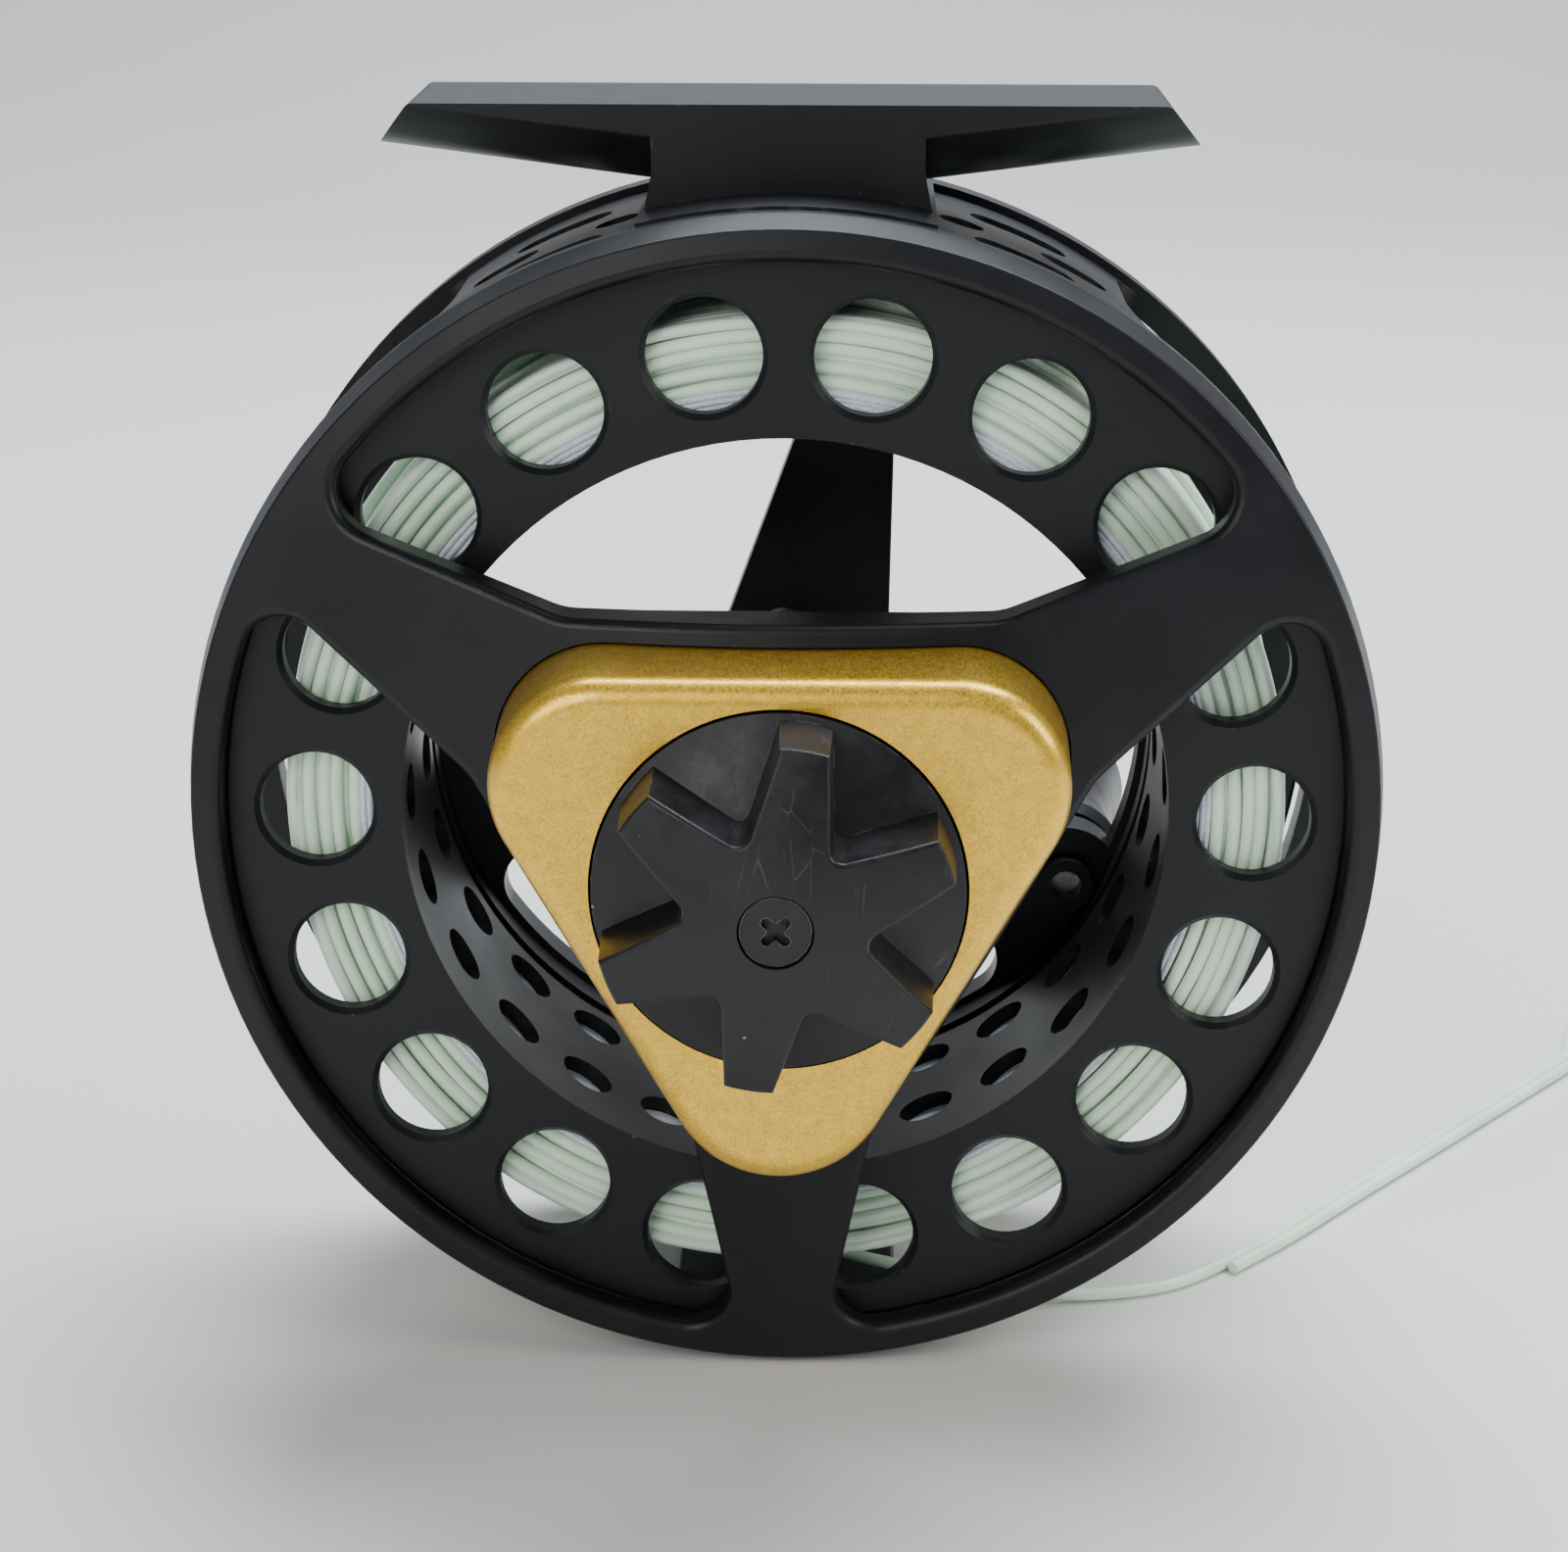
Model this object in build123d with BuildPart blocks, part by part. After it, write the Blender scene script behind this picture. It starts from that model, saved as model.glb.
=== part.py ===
from build123d import *
from math import cos, hypot, pi, radians, sin, tan
import os

# Fly reel standing on its two rims, foot up. Millimetres, +Z up, spindle along Y.
# The drag knob faces -Y and the crank handle +Y. Depths below are measured along
# the spindle from the outer front edge of the frame, towards the handle.

# ---- driving sizes: frame ----
ring_r = 44.0                 # outside radius of both rims
rim_edge_r = 43.35            # the front rim narrows to this at its front edge
rim_slope_depth = 3.2         # how far back it narrows from
rim_edge_round = 0.2
stand_flat = 6.0              # width of the flat that each rim stands on
frame_width = 30.0            # over both rims
cage_wall = 2.0
front_band = 4.5              # width of the front rim
rear_band = 2.6               # width of the rear rim
bar_recess = 0.6              # how far the crossbars lie below the rims
dish_angle = 14.0             # slope of the dished front face, degrees
lip_thickness = 1.5           # front plate at the rim
window_r = 41.05              # outer radius of the three windows
platform_side = 16.75         # spindle to each flat side of the hub platform
spoke_edge = 10.55            # spindle to the line of each spoke edge
spoke_taper = 10.3            # half angle of a spoke, degrees
hub_back = -2.6               # rear face of the hub plate
hub_back_r = 19.25            # how far out the rear face is flat
window_tip_fillet = 3.2
window_root_fillet = 5.0
edge_round = 0.7              # rounding of the visible frame edges
top_bar_half_angle = 35.0
bottom_bar_half_angle = 11.5
bar_sweep_fillet = 12.5       # where the top bar sweeps into the front rim
bar_corner_fillet = 2.5
bar_slot_width = 3.2
# depth, first and last angle of each slot
bar_slots = ((9.6, 18.0, 28.4), (20.8, 18.0, 28.4), (15.2, 14.6, 19.2), (15.2, 25.2, 32.6))
three_spokes = (60, 180, 300) # spoke angles, clockwise from the top
three_sides = (0, 120, 240)   # directions of the platform sides

# ---- driving sizes: reel foot ----
foot_top = 50.5               # top of the foot above the spindle
foot_length = 60.2
foot_flat_length = 54.6
foot_width = 13.5
foot_depth = 17.5             # middle of the foot
foot_slope = 7.3              # rise of the wings, degrees
foot_side_drop = 2.3          # height of the side facet beside the stem
foot_belly_drop = 6.1         # thickness of the wing beside the stem
foot_stem_half = 9.85
foot_flare = 0.75
land_half_angle = 14.0        # raised land under the stem
land_r = 44.25
land_round = 0.2
foot_belly_round = 0.5
foot_toe_round = 0.8

# ---- driving sizes: drag cover and knob ----
cover_side = 15.2             # spindle to each flat side of the cover
cover_corner = 8.2
cover_floor = -4.4            # bottom of the pocket that holds the cover
cover_front = -14.7
cover_edge = 1.7
cover_draft = 1.5
cover_wall = 1.8
cover_gap = 0.15
cover_screw_circle = 17.0
knob_r = 12.95
knob_hole_gap = 0.2
knob_rim_front = -14.9
knob_front = -22.8            # middle of the domed front
knob_tip_front = -21.0        # where the dome meets the ends of the arms
knob_back = -8.4
knob_top_r = 12.3
knob_turn = 8.8               # how far the first arm stands past the top, degrees
arm_count = 6
arm_edge = 3.77               # spindle to the line of each arm edge
arm_taper = 10.15
arm_root_round = 0.9
pocket_floor_inner = -17.4

# ---- driving sizes: spool and line ----
spool_gap = 0.4               # front plate to spool
flange_r = 41.4
flange_thickness = 1.6
rim_hole_count = 18
rim_hole_r = 4.2
rim_hole_bevel = 0.4
rim_hole_circle = 34.5
rim_hole_turn = 10.4
flange_bore = 28.2
arbor_inner_r = 28.5
arbor_wall = 1.2
arbor_hole_count = 26
arbor_hole_r = 2.2
arbor_hole_turn = 5.1
arbor_rows = (9.2, 18.8)
spoke_front = 26.5            # far side spokes
spoke_back = 29.3
far_spoke_edge = 7.6
far_spoke_taper = 9.5
far_spoke_turn = 10.5
hub_tube_r = 8.5
hub_front_end = 10.2
latch_boss_back = 31.2
backing_r = 31.5
winding_r = 37.0
line_d = 1.0
cord_bend = 0.45              # share of the shorter run used by each bend
line_clearance = 0.25         # free line to the winding and the bottom bar

# ---- driving sizes: handle ----
handle_circle = 26.2
handle_angle = 121.5
handle_length = 20.0
handle_base_r = 5.0
handle_top_r = 6.3
post_r = 1.9
pad_r = 4.5

# ---- driving sizes: spindle and drag ----
spindle_r = 3.0
bearing_outer_r = 6.5
run_gap = 0.03                # radial clearance of every running fit
slide_gap = 0.05              # between drag plates and other sliding faces
plate_count = 3
plate_thickness = 0.8
housing_r = 13.4
housing_wall = 1.2
housing_depth = 7.8
neck_r = 4.5
small_screw_r = 0.8
foot_screw_r = 1.25
foot_screw_head_r = 2.5
foot_screw_offset = 5.4
foot_screw_length = 7.8
push_pin_circle = 6.8
push_pin_r = 0.9
housing_screw_circle = 14.9
housing_ear_r = 1.7
housing_ear = 1.5
pawl_circle = 17.0
pawl_angle = 150.0
pawl_pin_r = 1.0
gear_r = 11.5
gear_front = 9.1
gear_thickness = 1.0
latch_angle = 250.5
latch_width = 8.9
latch_travel = 0.7

# ---- driving sizes: small parts ----
foot_tip_drop = 3.5
cover_hole_wall = 1.25
cover_boss_r = 2.1
cover_roof = 2.0
small_head_r = 1.5
knob_screw_head_r = 2.45
knob_screw_seat = -20.8
spindle_front = -14.2
spindle_back = 31.9
shoulder_r = 4.6
shoulder_back = -1.2
nut_flats = 14.0
nut_front = -10.6
nut_back = -7.45
nut_slide_gap = 0.08
hub_hex = 9.6
seal_r = 5.2
gear_seat_r = 7.4
gear_teeth = 24
bearing_width = 3.0
rear_bearing_back = 27.0
latch_front = 30.1
latch_thickness = 1.0
latch_groove_r = 2.2
latch_tab = 11.5
latch_tail = 5.6
latch_slot_end = 7.7          # closed end of the latch slot
latch_screw_circle = 6.5
cap_thickness = 1.8
pad_boss_r = 2.2
counterweight_angle = 310.4

# stations of the free line: across, depth, height above the spindle
lay_height = -43.38           # line lying beside the rim
line_route = (
    (-6.0, 9.6, -37.3),
    (1.0, 9.6, -38.3),
    (8.5, 9.8, -40.2),
    (15.5, 10.1, -41.7),
    (22.0, 10.6, -43.2),
    (27.5, 11.7, lay_height),
    (31.5, 13.3, lay_height),
    (35.5, 17.0, lay_height),
    (40.5, 22.3, lay_height),
    (46.0, 29.4, lay_height),
    (52.8, 37.6, lay_height),
    (60.5, 47.0, lay_height),
    (66.5, 54.3, lay_height),
    (70.5, 59.2, lay_height),
)
doubled_from = 7              # station where the welded double section begins
# loop at the far end: along the line and across it, from the middle of the doubled end
loop_shape = (
    (2.6, -line_d / 2),
    (6.4, -2.5),
    (10.6, -4.3),
    (15.0, -3.4),
    (17.3, 0.4),
    (15.4, 4.3),
    (11.0, 5.5),
    (6.6, 3.6),
    (2.9, line_d / 2),
)

# ---- worked out from the sizes above ----
far_flange_back = frame_width - 0.2
handle_back = far_flange_back + 1.0 + 0.6 + handle_length
handle_screw_head = 1.2
depth_front = knob_front
depth_back = handle_back + handle_screw_head
face_y = -(depth_front + depth_back) / 2
axle_z = (ring_r ** 2 - (stand_flat / 2) ** 2) ** 0.5
hub_flat_r = platform_side - 1.5
hub_front = -(ring_r - hub_flat_r) * tan(radians(dish_angle))
cage_inner_r = ring_r - cage_wall
flange_front = lip_thickness + spool_gap
flange_back = flange_front + flange_thickness
far_flange_front = far_flange_back - flange_thickness
arbor_outer_r = arbor_inner_r + arbor_wall
spool_axis = Axis((0, 0, axle_z), (0, 1, 0))
turning_plane = Plane(origin=(0, face_y, axle_z), x_dir=(1, 0, 0), z_dir=(0, 0, 1))


def dish(radius):
    """Depth of the dished front face at a radius."""
    return -(ring_r - radius) * tan(radians(dish_angle))


def facing(depth, x=0.0, z=0.0, turn=0.0):
    """Plane that faces the front at a depth, its y axis turned clockwise from up."""
    across = (cos(radians(turn)), 0, -sin(radians(turn)))
    return Plane(origin=(x, face_y + depth, axle_z + z), x_dir=across, z_dir=(0, -1, 0))


def around(radius, *angles):
    """Places on a circle about the spindle, angles clockwise from the top."""
    return [(radius * sin(radians(a)), radius * cos(radians(a))) for a in angles]


def turned(*outline, mode=Mode.ADD, arc=360.0, start=0.0):
    """Turn a closed outline of (radius, depth) points about the spindle."""
    with BuildSketch(turning_plane.rotated((0, start, 0))) as profile:
        with BuildLine():
            Polyline(*outline, close=True)
        make_face()
    revolve(profile.sketch, axis=spool_axis, revolution_arc=arc, mode=mode)


def collar(outer_r, inner_r, front, back, mode=Mode.ADD):
    """Plain ring about the spindle between two depths."""
    turned((inner_r, front), (outer_r, front), (outer_r, back), (inner_r, back), mode=mode)


def rods(places, radius, front, back, mode=Mode.ADD):
    """Round rods or holes parallel to the spindle."""
    with BuildSketch(facing(back)) as section:
        with Locations(*places):
            Circle(radius)
    extrude(section.sketch, amount=back - front, mode=mode)


def hexagon(across_flats, front, back, mode=Mode.ADD):
    """Hexagonal prism about the spindle."""
    with BuildSketch(facing(back)) as section:
        RegularPolygon(across_flats / 2, 6, major_radius=False)
    extrude(section.sketch, amount=back - front, mode=mode)


def turned_about(place, *outline, mode=Mode.ADD):
    """Turn a closed outline about an axis parallel to the spindle at a place."""
    x, z = place
    lathe = Plane(origin=(x, face_y, axle_z + z), x_dir=(1, 0, 0), z_dir=(0, 0, 1))
    with BuildSketch(lathe) as profile:
        with BuildLine():
            Polyline(*outline, close=True)
        make_face()
    revolve(profile.sketch, axis=Axis((x, 0, axle_z + z), (0, 1, 0)), mode=mode)


def radial_plane(angle, depth, radius=0.0):
    """Plane that faces outwards from the spindle at an angle clockwise from the top."""
    out = (sin(radians(angle)), 0, cos(radians(angle)))
    along = (cos(radians(angle)), 0, -sin(radians(angle)))
    origin = (radius * out[0], face_y + depth, axle_z + radius * out[2])
    return Plane(origin=origin, x_dir=along, z_dir=out)


def wedge(apex, half_angle, reach):
    """Corners of a wedge that opens upwards from an apex above the middle."""
    across = reach * sin(radians(half_angle))
    up = apex + reach * cos(radians(half_angle))
    return [(0, apex), (across, up), (across, up + reach), (-across, up + reach), (-across, up)]


def cord(*stations):
    """Round line through (x, depth, height) stations, curved between straight runs."""
    points = [Vector(x, face_y + depth, axle_z + z) for x, depth, z in stations]
    bends = []
    for before, here, after in zip(points, points[1:], points[2:]):
        turn = radians((here - before).get_angle(after - here))
        shorter = min((here - before).length, (after - here).length)
        bends.append(cord_bend * shorter / tan(turn / 2))
    with BuildLine() as route:
        FilletPolyline(*points, radius=bends)
    with BuildSketch(Plane(origin=route.line @ 0, z_dir=route.line % 0)) as section:
        Circle(line_d / 2)
    sweep(section.sketch, path=route.line)
    return min(bends)


def on_dish(edge):
    """Whether an edge lies on the dished front face."""
    point = edge.position_at(0.5)
    radius = hypot(point.X, point.Z - axle_z)
    return platform_side - 1 < radius < rim_edge_r - 0.1 and abs(point.Y - face_y - max(dish(radius), hub_front)) < 0.02


def save(piece, name):
    """Label a finished piece and write it."""
    piece.part.label = name
    export_step(piece.part, f"parts/{name}.step")


os.makedirs("parts", exist_ok=True)

# ---- outlines used more than once ----
with BuildSketch() as cover_outline:
    RegularPolygon(cover_side, 3, major_radius=False, rotation=30)
    fillet(cover_outline.vertices(), cover_corner)

edge_normal = radians(60 + spoke_taper)
edge_x, edge_z = cos(edge_normal), sin(edge_normal)
root_x = (platform_side * edge_z - spoke_edge) / edge_x
far_x = spoke_edge * edge_x - 2 * ring_r * edge_z
far_z = spoke_edge * edge_z + 2 * ring_r * edge_x
with BuildSketch() as window:
    with BuildLine():
        Polyline(
            (-root_x, platform_side),
            (far_x, far_z),
            (far_x, 2 * ring_r),
            (-far_x, 2 * ring_r),
            (-far_x, far_z),
            (root_x, platform_side),
            close=True,
        )
    make_face()
    Circle(window_r, mode=Mode.INTERSECT)
    fillet(window.vertices().sort_by(Axis.Y)[:2], window_root_fillet)
    fillet(window.vertices().filter_by(lambda v: hypot(v.X, v.Y) > window_r - 0.01), window_tip_fillet)

# ---- frame: dished front plate, two rims, top and bottom bars ----
bar_outer_r = ring_r - bar_recess

with BuildPart() as opening_cutter:
    turned(
        (cage_inner_r - 3, front_band),
        (ring_r + 3, front_band),
        (ring_r + 3, frame_width - rear_band),
        (cage_inner_r - 3, frame_width - rear_band),
        arc=180 - top_bar_half_angle - bottom_bar_half_angle,
        start=top_bar_half_angle - 90,
    )
    corners = opening_cutter.edges().filter_by(GeomType.LINE)
    corners = corners.filter_by(lambda e: abs(e.tangent_at(0).Y) < 0.01).sort_by(Axis.Z)
    sweep_corner = corners[-2:].sort_by(Axis.Y)[0]
    fillet(sweep_corner, bar_sweep_fillet)
    corners = opening_cutter.edges().filter_by(GeomType.LINE)
    corners = corners.filter_by(lambda e: abs(e.tangent_at(0).Y) < 0.01)
    fillet([edge for edge in corners if edge.length > 5.9], bar_corner_fillet)

with BuildPart() as frame:
    turned(
        (0, hub_front),
        (hub_flat_r, hub_front),
        (rim_edge_r, dish(rim_edge_r)),
        (ring_r, rim_slope_depth),
        (ring_r, frame_width),
        (cage_inner_r, frame_width),
        (cage_inner_r, lip_thickness),
        (hub_back_r, hub_back),
        (0, hub_back),
    )
    # bars lie lower than the rims, apart from the land under the foot
    turned(
        (bar_outer_r, front_band),
        (ring_r + 1, front_band),
        (ring_r + 1, frame_width - rear_band),
        (bar_outer_r, frame_width - rear_band),
        arc=360 - 2 * land_half_angle,
        start=land_half_angle - 90,
        mode=Mode.SUBTRACT,
    )
    turned(
        (ring_r - 1, front_band),
        (land_r, front_band),
        (land_r, frame_width - rear_band),
        (ring_r - 1, frame_width - rear_band),
        arc=2 * land_half_angle,
        start=-land_half_angle - 90,
    )
    # narrow flats that the rims stand on
    with Locations((0, face_y + frame_width / 2, 0)):
        Box(2 * stand_flat, frame_width + 10, 1, align=(Align.CENTER, Align.CENTER, Align.MAX), mode=Mode.SUBTRACT)
    add(opening_cutter.part, mode=Mode.SUBTRACT)
    add(mirror(opening_cutter.part, about=Plane.YZ), mode=Mode.SUBTRACT)
    # slots through the top bar: two outer rows side by side, a staggered row between
    for depth, first, last in bar_slots:
        for side in (-1, 1):
            middle = side * (first + last) / 2
            length = radians(last - first) * bar_outer_r
            with BuildSketch(radial_plane(middle, depth, cage_inner_r)) as slot:
                SlotOverall(length, bar_slot_width)
            extrude(slot.sketch, amount=cage_wall * 2, both=True, mode=Mode.SUBTRACT)
    # three windows between the spokes
    with BuildSketch(facing(hub_front - 1)) as windows:
        with PolarLocations(0, 3):
            add(window.sketch)
    extrude(windows.sketch, amount=-(lip_thickness - hub_front + 2), mode=Mode.SUBTRACT)
    visible = frame.edges().filter_by(on_dish)
    fillet(visible, edge_round)
    rim_edge = frame.edges().filter_by(GeomType.CIRCLE).filter_by(lambda e: abs(e.radius - rim_edge_r) < 0.01)
    fillet(rim_edge, rim_edge_round)
    # pocket for the cover, and the holes through the hub plate
    with BuildSketch(facing(cover_floor)) as pocket:
        add(cover_outline.sketch)
        offset(amount=cover_gap)
    extrude(pocket.sketch, amount=-hub_front, mode=Mode.SUBTRACT)
    rods([(0, 0)], spindle_r + run_gap, hub_front - 1, hub_back + 1, mode=Mode.SUBTRACT)
    rods(around(push_pin_circle, *three_sides), push_pin_r + run_gap, hub_front, 0, mode=Mode.SUBTRACT)
    rods(around(cover_screw_circle, *three_spokes), small_screw_r + 0.1, hub_front, 1, mode=Mode.SUBTRACT)
    rods(around(housing_screw_circle, *three_sides), small_screw_r, hub_back - 1.4, 1, mode=Mode.SUBTRACT)
    rods(around(pawl_circle, pawl_angle), pawl_pin_r, hub_back - 1.2, 1, mode=Mode.SUBTRACT)
    # holes for the two foot screws, countersunk from inside
    for x in (-foot_screw_offset, foot_screw_offset):
        with Locations(Location((x, face_y + foot_depth, axle_z + cage_inner_r - 0.4), (180, 0, 0))):
            CounterSinkHole(foot_screw_r + 0.1, foot_screw_head_r, depth=cage_wall + 3, counter_sink_angle=90)
save(frame, "frame")

# ---- reel foot and its two screws ----
slope = tan(radians(foot_slope))
side_z = foot_top - foot_side_drop - foot_stem_half * slope
belly_z = foot_top - foot_belly_drop - foot_stem_half * slope
foot_end = foot_length / 2
foot_section = Plane(origin=(0, face_y + foot_depth, axle_z), x_dir=(0, 1, 0), z_dir=(1, 0, 0))

with BuildPart() as foot:
    with BuildSketch(foot_section) as wing_section:
        with BuildLine():
            Polyline(
                (-foot_width / 2, side_z),
                (-foot_width / 2, foot_top + 5),
                (foot_width / 2, foot_top + 5),
                (foot_width / 2, side_z),
            )
            ThreePointArc((-foot_width / 2, side_z), (0, belly_z), (foot_width / 2, side_z))
        make_face()
    extrude(wing_section.sketch, amount=foot_end / cos(radians(foot_slope)), dir=(1, 0, slope))
    mirror(about=Plane.YZ)
    with BuildSketch(facing(foot_depth)) as stem:
        Polygon(
            (-foot_stem_half - foot_flare, cage_inner_r),
            (-foot_stem_half, ring_r + 1.6),
            (-foot_stem_half, foot_top),
            (foot_stem_half, foot_top),
            (foot_stem_half, ring_r + 1.6),
            (foot_stem_half + foot_flare, cage_inner_r),
            align=None,
        )
    extrude(stem.sketch, amount=foot_width / 2, both=True)
    # flat top, bevelled tips, saddle that sits on the frame
    with BuildSketch(facing(foot_depth)) as top_cut:
        Polygon(
            (-foot_end - 5, foot_top + 9),
            (-foot_end - 5, foot_top - foot_tip_drop),
            (-foot_end, foot_top - foot_tip_drop),
            (-foot_flat_length / 2, foot_top),
            (foot_flat_length / 2, foot_top),
            (foot_end, foot_top - foot_tip_drop),
            (foot_end + 5, foot_top - foot_tip_drop),
            (foot_end + 5, foot_top + 9),
            align=None,
        )
    extrude(top_cut.sketch, amount=foot_width, both=True, mode=Mode.SUBTRACT)
    collar(land_r, 1, 0, frame_width, mode=Mode.SUBTRACT)
    wing_edges = foot.edges().filter_by(lambda e: e.center().Z > axle_z + ring_r + 2.5)
    fillet([edge for edge in wing_edges if 15 < edge.length < 40], foot_belly_round)
    fillet(foot.edges().filter_by(lambda e: abs(e.length - foot_width) < 0.05).sort_by(Axis.Z)[-2:], foot_toe_round)
    for x in (-foot_screw_offset, foot_screw_offset):
        with Locations(Location((x, face_y + foot_depth, axle_z + foot_top - 1))):
            Cylinder(foot_screw_r, foot_screw_length + 2, align=(Align.CENTER, Align.CENTER, Align.MAX),
                     mode=Mode.SUBTRACT)
save(foot, "foot")

with BuildPart() as foot_screws:
    for x in (-foot_screw_offset, foot_screw_offset):
        with Locations(Location((x, face_y + foot_depth, axle_z + cage_inner_r - 0.4))):
            cone = foot_screw_head_r - foot_screw_r
            Cylinder(foot_screw_r, foot_screw_length, align=(Align.CENTER, Align.CENTER, Align.MIN))
            Cone(foot_screw_head_r, foot_screw_r, cone, align=(Align.CENTER, Align.CENTER, Align.MIN))
            Box(0.7, 3.2, 0.7, align=(Align.CENTER, Align.CENTER, Align.MIN), mode=Mode.SUBTRACT)
save(foot_screws, "foot_screws")

# ---- drag cover and its three screws ----
with BuildPart() as cover:
    with BuildSketch(facing(cover_floor)) as cover_base:
        add(cover_outline.sketch)
    extrude(cover_base.sketch, amount=cover_floor - cover_front, taper=cover_draft)
    fillet(cover.faces().sort_by(Axis.Y)[0].outer_wire().edges(), cover_edge)
    collar(knob_r + knob_hole_gap, 0, cover_front - 1, cover_floor + 1, mode=Mode.SUBTRACT)
    with BuildSketch(facing(cover_floor)) as corners:
        add(cover_outline.sketch)
        offset(amount=-cover_wall)
        Circle(knob_r + knob_hole_gap + cover_hole_wall, mode=Mode.SUBTRACT)
        with Locations(*around(cover_screw_circle, *three_spokes)):
            Circle(cover_boss_r, mode=Mode.SUBTRACT)
    extrude(corners.sketch, amount=cover_floor - cover_front - cover_roof, mode=Mode.SUBTRACT)
    rods(around(cover_screw_circle, *three_spokes), small_screw_r, cover_floor - 5, cover_floor + 1,
         mode=Mode.SUBTRACT)
save(cover, "cover")

with BuildPart() as cover_screws:
    for place in around(cover_screw_circle, *three_spokes):
        turned_about(place, (0, cover_floor - 4.5), (small_screw_r, cover_floor - 4.5), (small_screw_r, hub_back),
                     (small_head_r, hub_back), (small_head_r, hub_back + 0.9), (0, hub_back + 0.9))
save(cover_screws, "cover_screws")

# ---- drag knob ----
arm_half = arm_taper + 180 / arm_count
pocket_apex = arm_edge / sin(radians(arm_half))
dome_drop = knob_tip_front - knob_front
dome_r = (knob_top_r ** 2 + dome_drop ** 2) / (2 * dome_drop)
with BuildPart() as knob_star:
    with BuildSketch(facing(knob_front, turn=knob_turn)) as star:
        Circle(knob_top_r)
        with BuildSketch(mode=Mode.PRIVATE) as pocket:
            Polygon(*wedge(pocket_apex, arm_half, knob_r), align=None)
            fillet(pocket.vertices().sort_by(Axis.Y)[0], arm_root_round)
        with PolarLocations(0, arm_count, start_angle=180 / arm_count):
            add(pocket.sketch, mode=Mode.SUBTRACT)
    extrude(star.sketch, amount=-(knob_rim_front + 1 - knob_front), taper=-1.5)
    with Locations((0, face_y + knob_front + dome_r, axle_z)):
        Sphere(dome_r, mode=Mode.INTERSECT)
    fillet(knob_star.faces().sort_by(Axis.Y)[0].edges(), 0.35)

with BuildPart() as knob:
    turned((0, pocket_floor_inner), (pocket_apex, pocket_floor_inner), (knob_r, knob_rim_front),
           (knob_r, knob_back), (0, knob_back))
    add(knob_star.part)
    collar(knob_screw_head_r + 0.15, 0, knob_front - 1, knob_screw_seat, mode=Mode.SUBTRACT)
    collar(foot_screw_r + 0.1, 0, knob_screw_seat - 1, knob_back + 1, mode=Mode.SUBTRACT)
    collar(spindle_r + 0.1, 0, spindle_front - 0.1, knob_back + 1, mode=Mode.SUBTRACT)
    hexagon(nut_flats + 2 * nut_slide_gap, nut_front - 0.6, knob_back + 1, mode=Mode.SUBTRACT)
save(knob, "drag_knob")

with BuildPart() as knob_screw:
    collar(knob_screw_head_r, 0, knob_screw_seat - 1.7, knob_screw_seat - 0.05)
    collar(foot_screw_r, 0, knob_screw_seat - 0.1, spindle_front + 4)
    with BuildSketch(facing(knob_screw_seat - 1)) as recess:
        SlotOverall(2.5, 0.7, rotation=45)
        SlotOverall(2.5, 0.7, rotation=-45)
        Circle(0.6)
    extrude(recess.sketch, amount=2, mode=Mode.SUBTRACT)
save(knob_screw, "knob_screw")

# ---- spindle and the drag adjuster ----
with BuildPart() as spindle:
    collar(spindle_r, 0, spindle_front, spindle_back)
    collar(shoulder_r, 0, hub_back, shoulder_back)
    collar(foot_screw_r, 0, spindle_front - 1, spindle_front + 4.2, mode=Mode.SUBTRACT)
    collar(spindle_r + 1, latch_groove_r, latch_front - 0.1, latch_boss_back + 0.05, mode=Mode.SUBTRACT)
    chamfer(spindle.edges().sort_by(Axis.Y)[-1], 0.5)
save(spindle, "spindle")

with BuildPart() as spindle_nut:
    hexagon(8, cover_floor - 1.8, cover_floor)
    collar(spindle_r, 0, cover_floor - 3, cover_floor + 1, mode=Mode.SUBTRACT)
save(spindle_nut, "spindle_nut")

with BuildPart() as adjusting_nut:
    hexagon(nut_flats, nut_front, nut_back)
    collar(spindle_r + run_gap, 0, nut_front - 1, nut_back + 1, mode=Mode.SUBTRACT)
save(adjusting_nut, "adjusting_nut")

with BuildPart() as thrust_plate:
    collar(8.6, 5.0, nut_back + slide_gap, nut_back + slide_gap + 1)
save(thrust_plate, "thrust_plate")

pin_front = nut_back + slide_gap + 1
pin_back = hub_back + 1.2
with BuildPart() as push_pins:
    rods(around(push_pin_circle, *three_sides), push_pin_r, pin_front, pin_back)
save(push_pins, "push_pins")

with BuildPart() as pressure_plate:
    collar(11, 5.0, pin_back, pin_back + 1.2)
save(pressure_plate, "pressure_plate")

# ---- drag stack in its housing ----
spring_front = pin_back + 1.2
with BuildPart() as front_spring:
    turned((5.3, spring_front), (10.6, spring_front + 0.4), (10.6, spring_front + 0.78), (5.3, spring_front + 0.38))
save(front_spring, "front_spring")

with BuildPart() as rear_spring:
    turned((5.3, spring_front + 1.2), (10.6, spring_front + 0.8), (10.6, spring_front + 1.18),
           (5.3, spring_front + 1.58))
save(rear_spring, "rear_spring")

stack_front = spring_front + 1.65
plate_pitch = 2 * (plate_thickness + slide_gap)
stack_back = stack_front + plate_count * plate_pitch
housing_inner_r = housing_r - housing_wall
housing_back = stack_back + slide_gap + housing_wall

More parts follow.
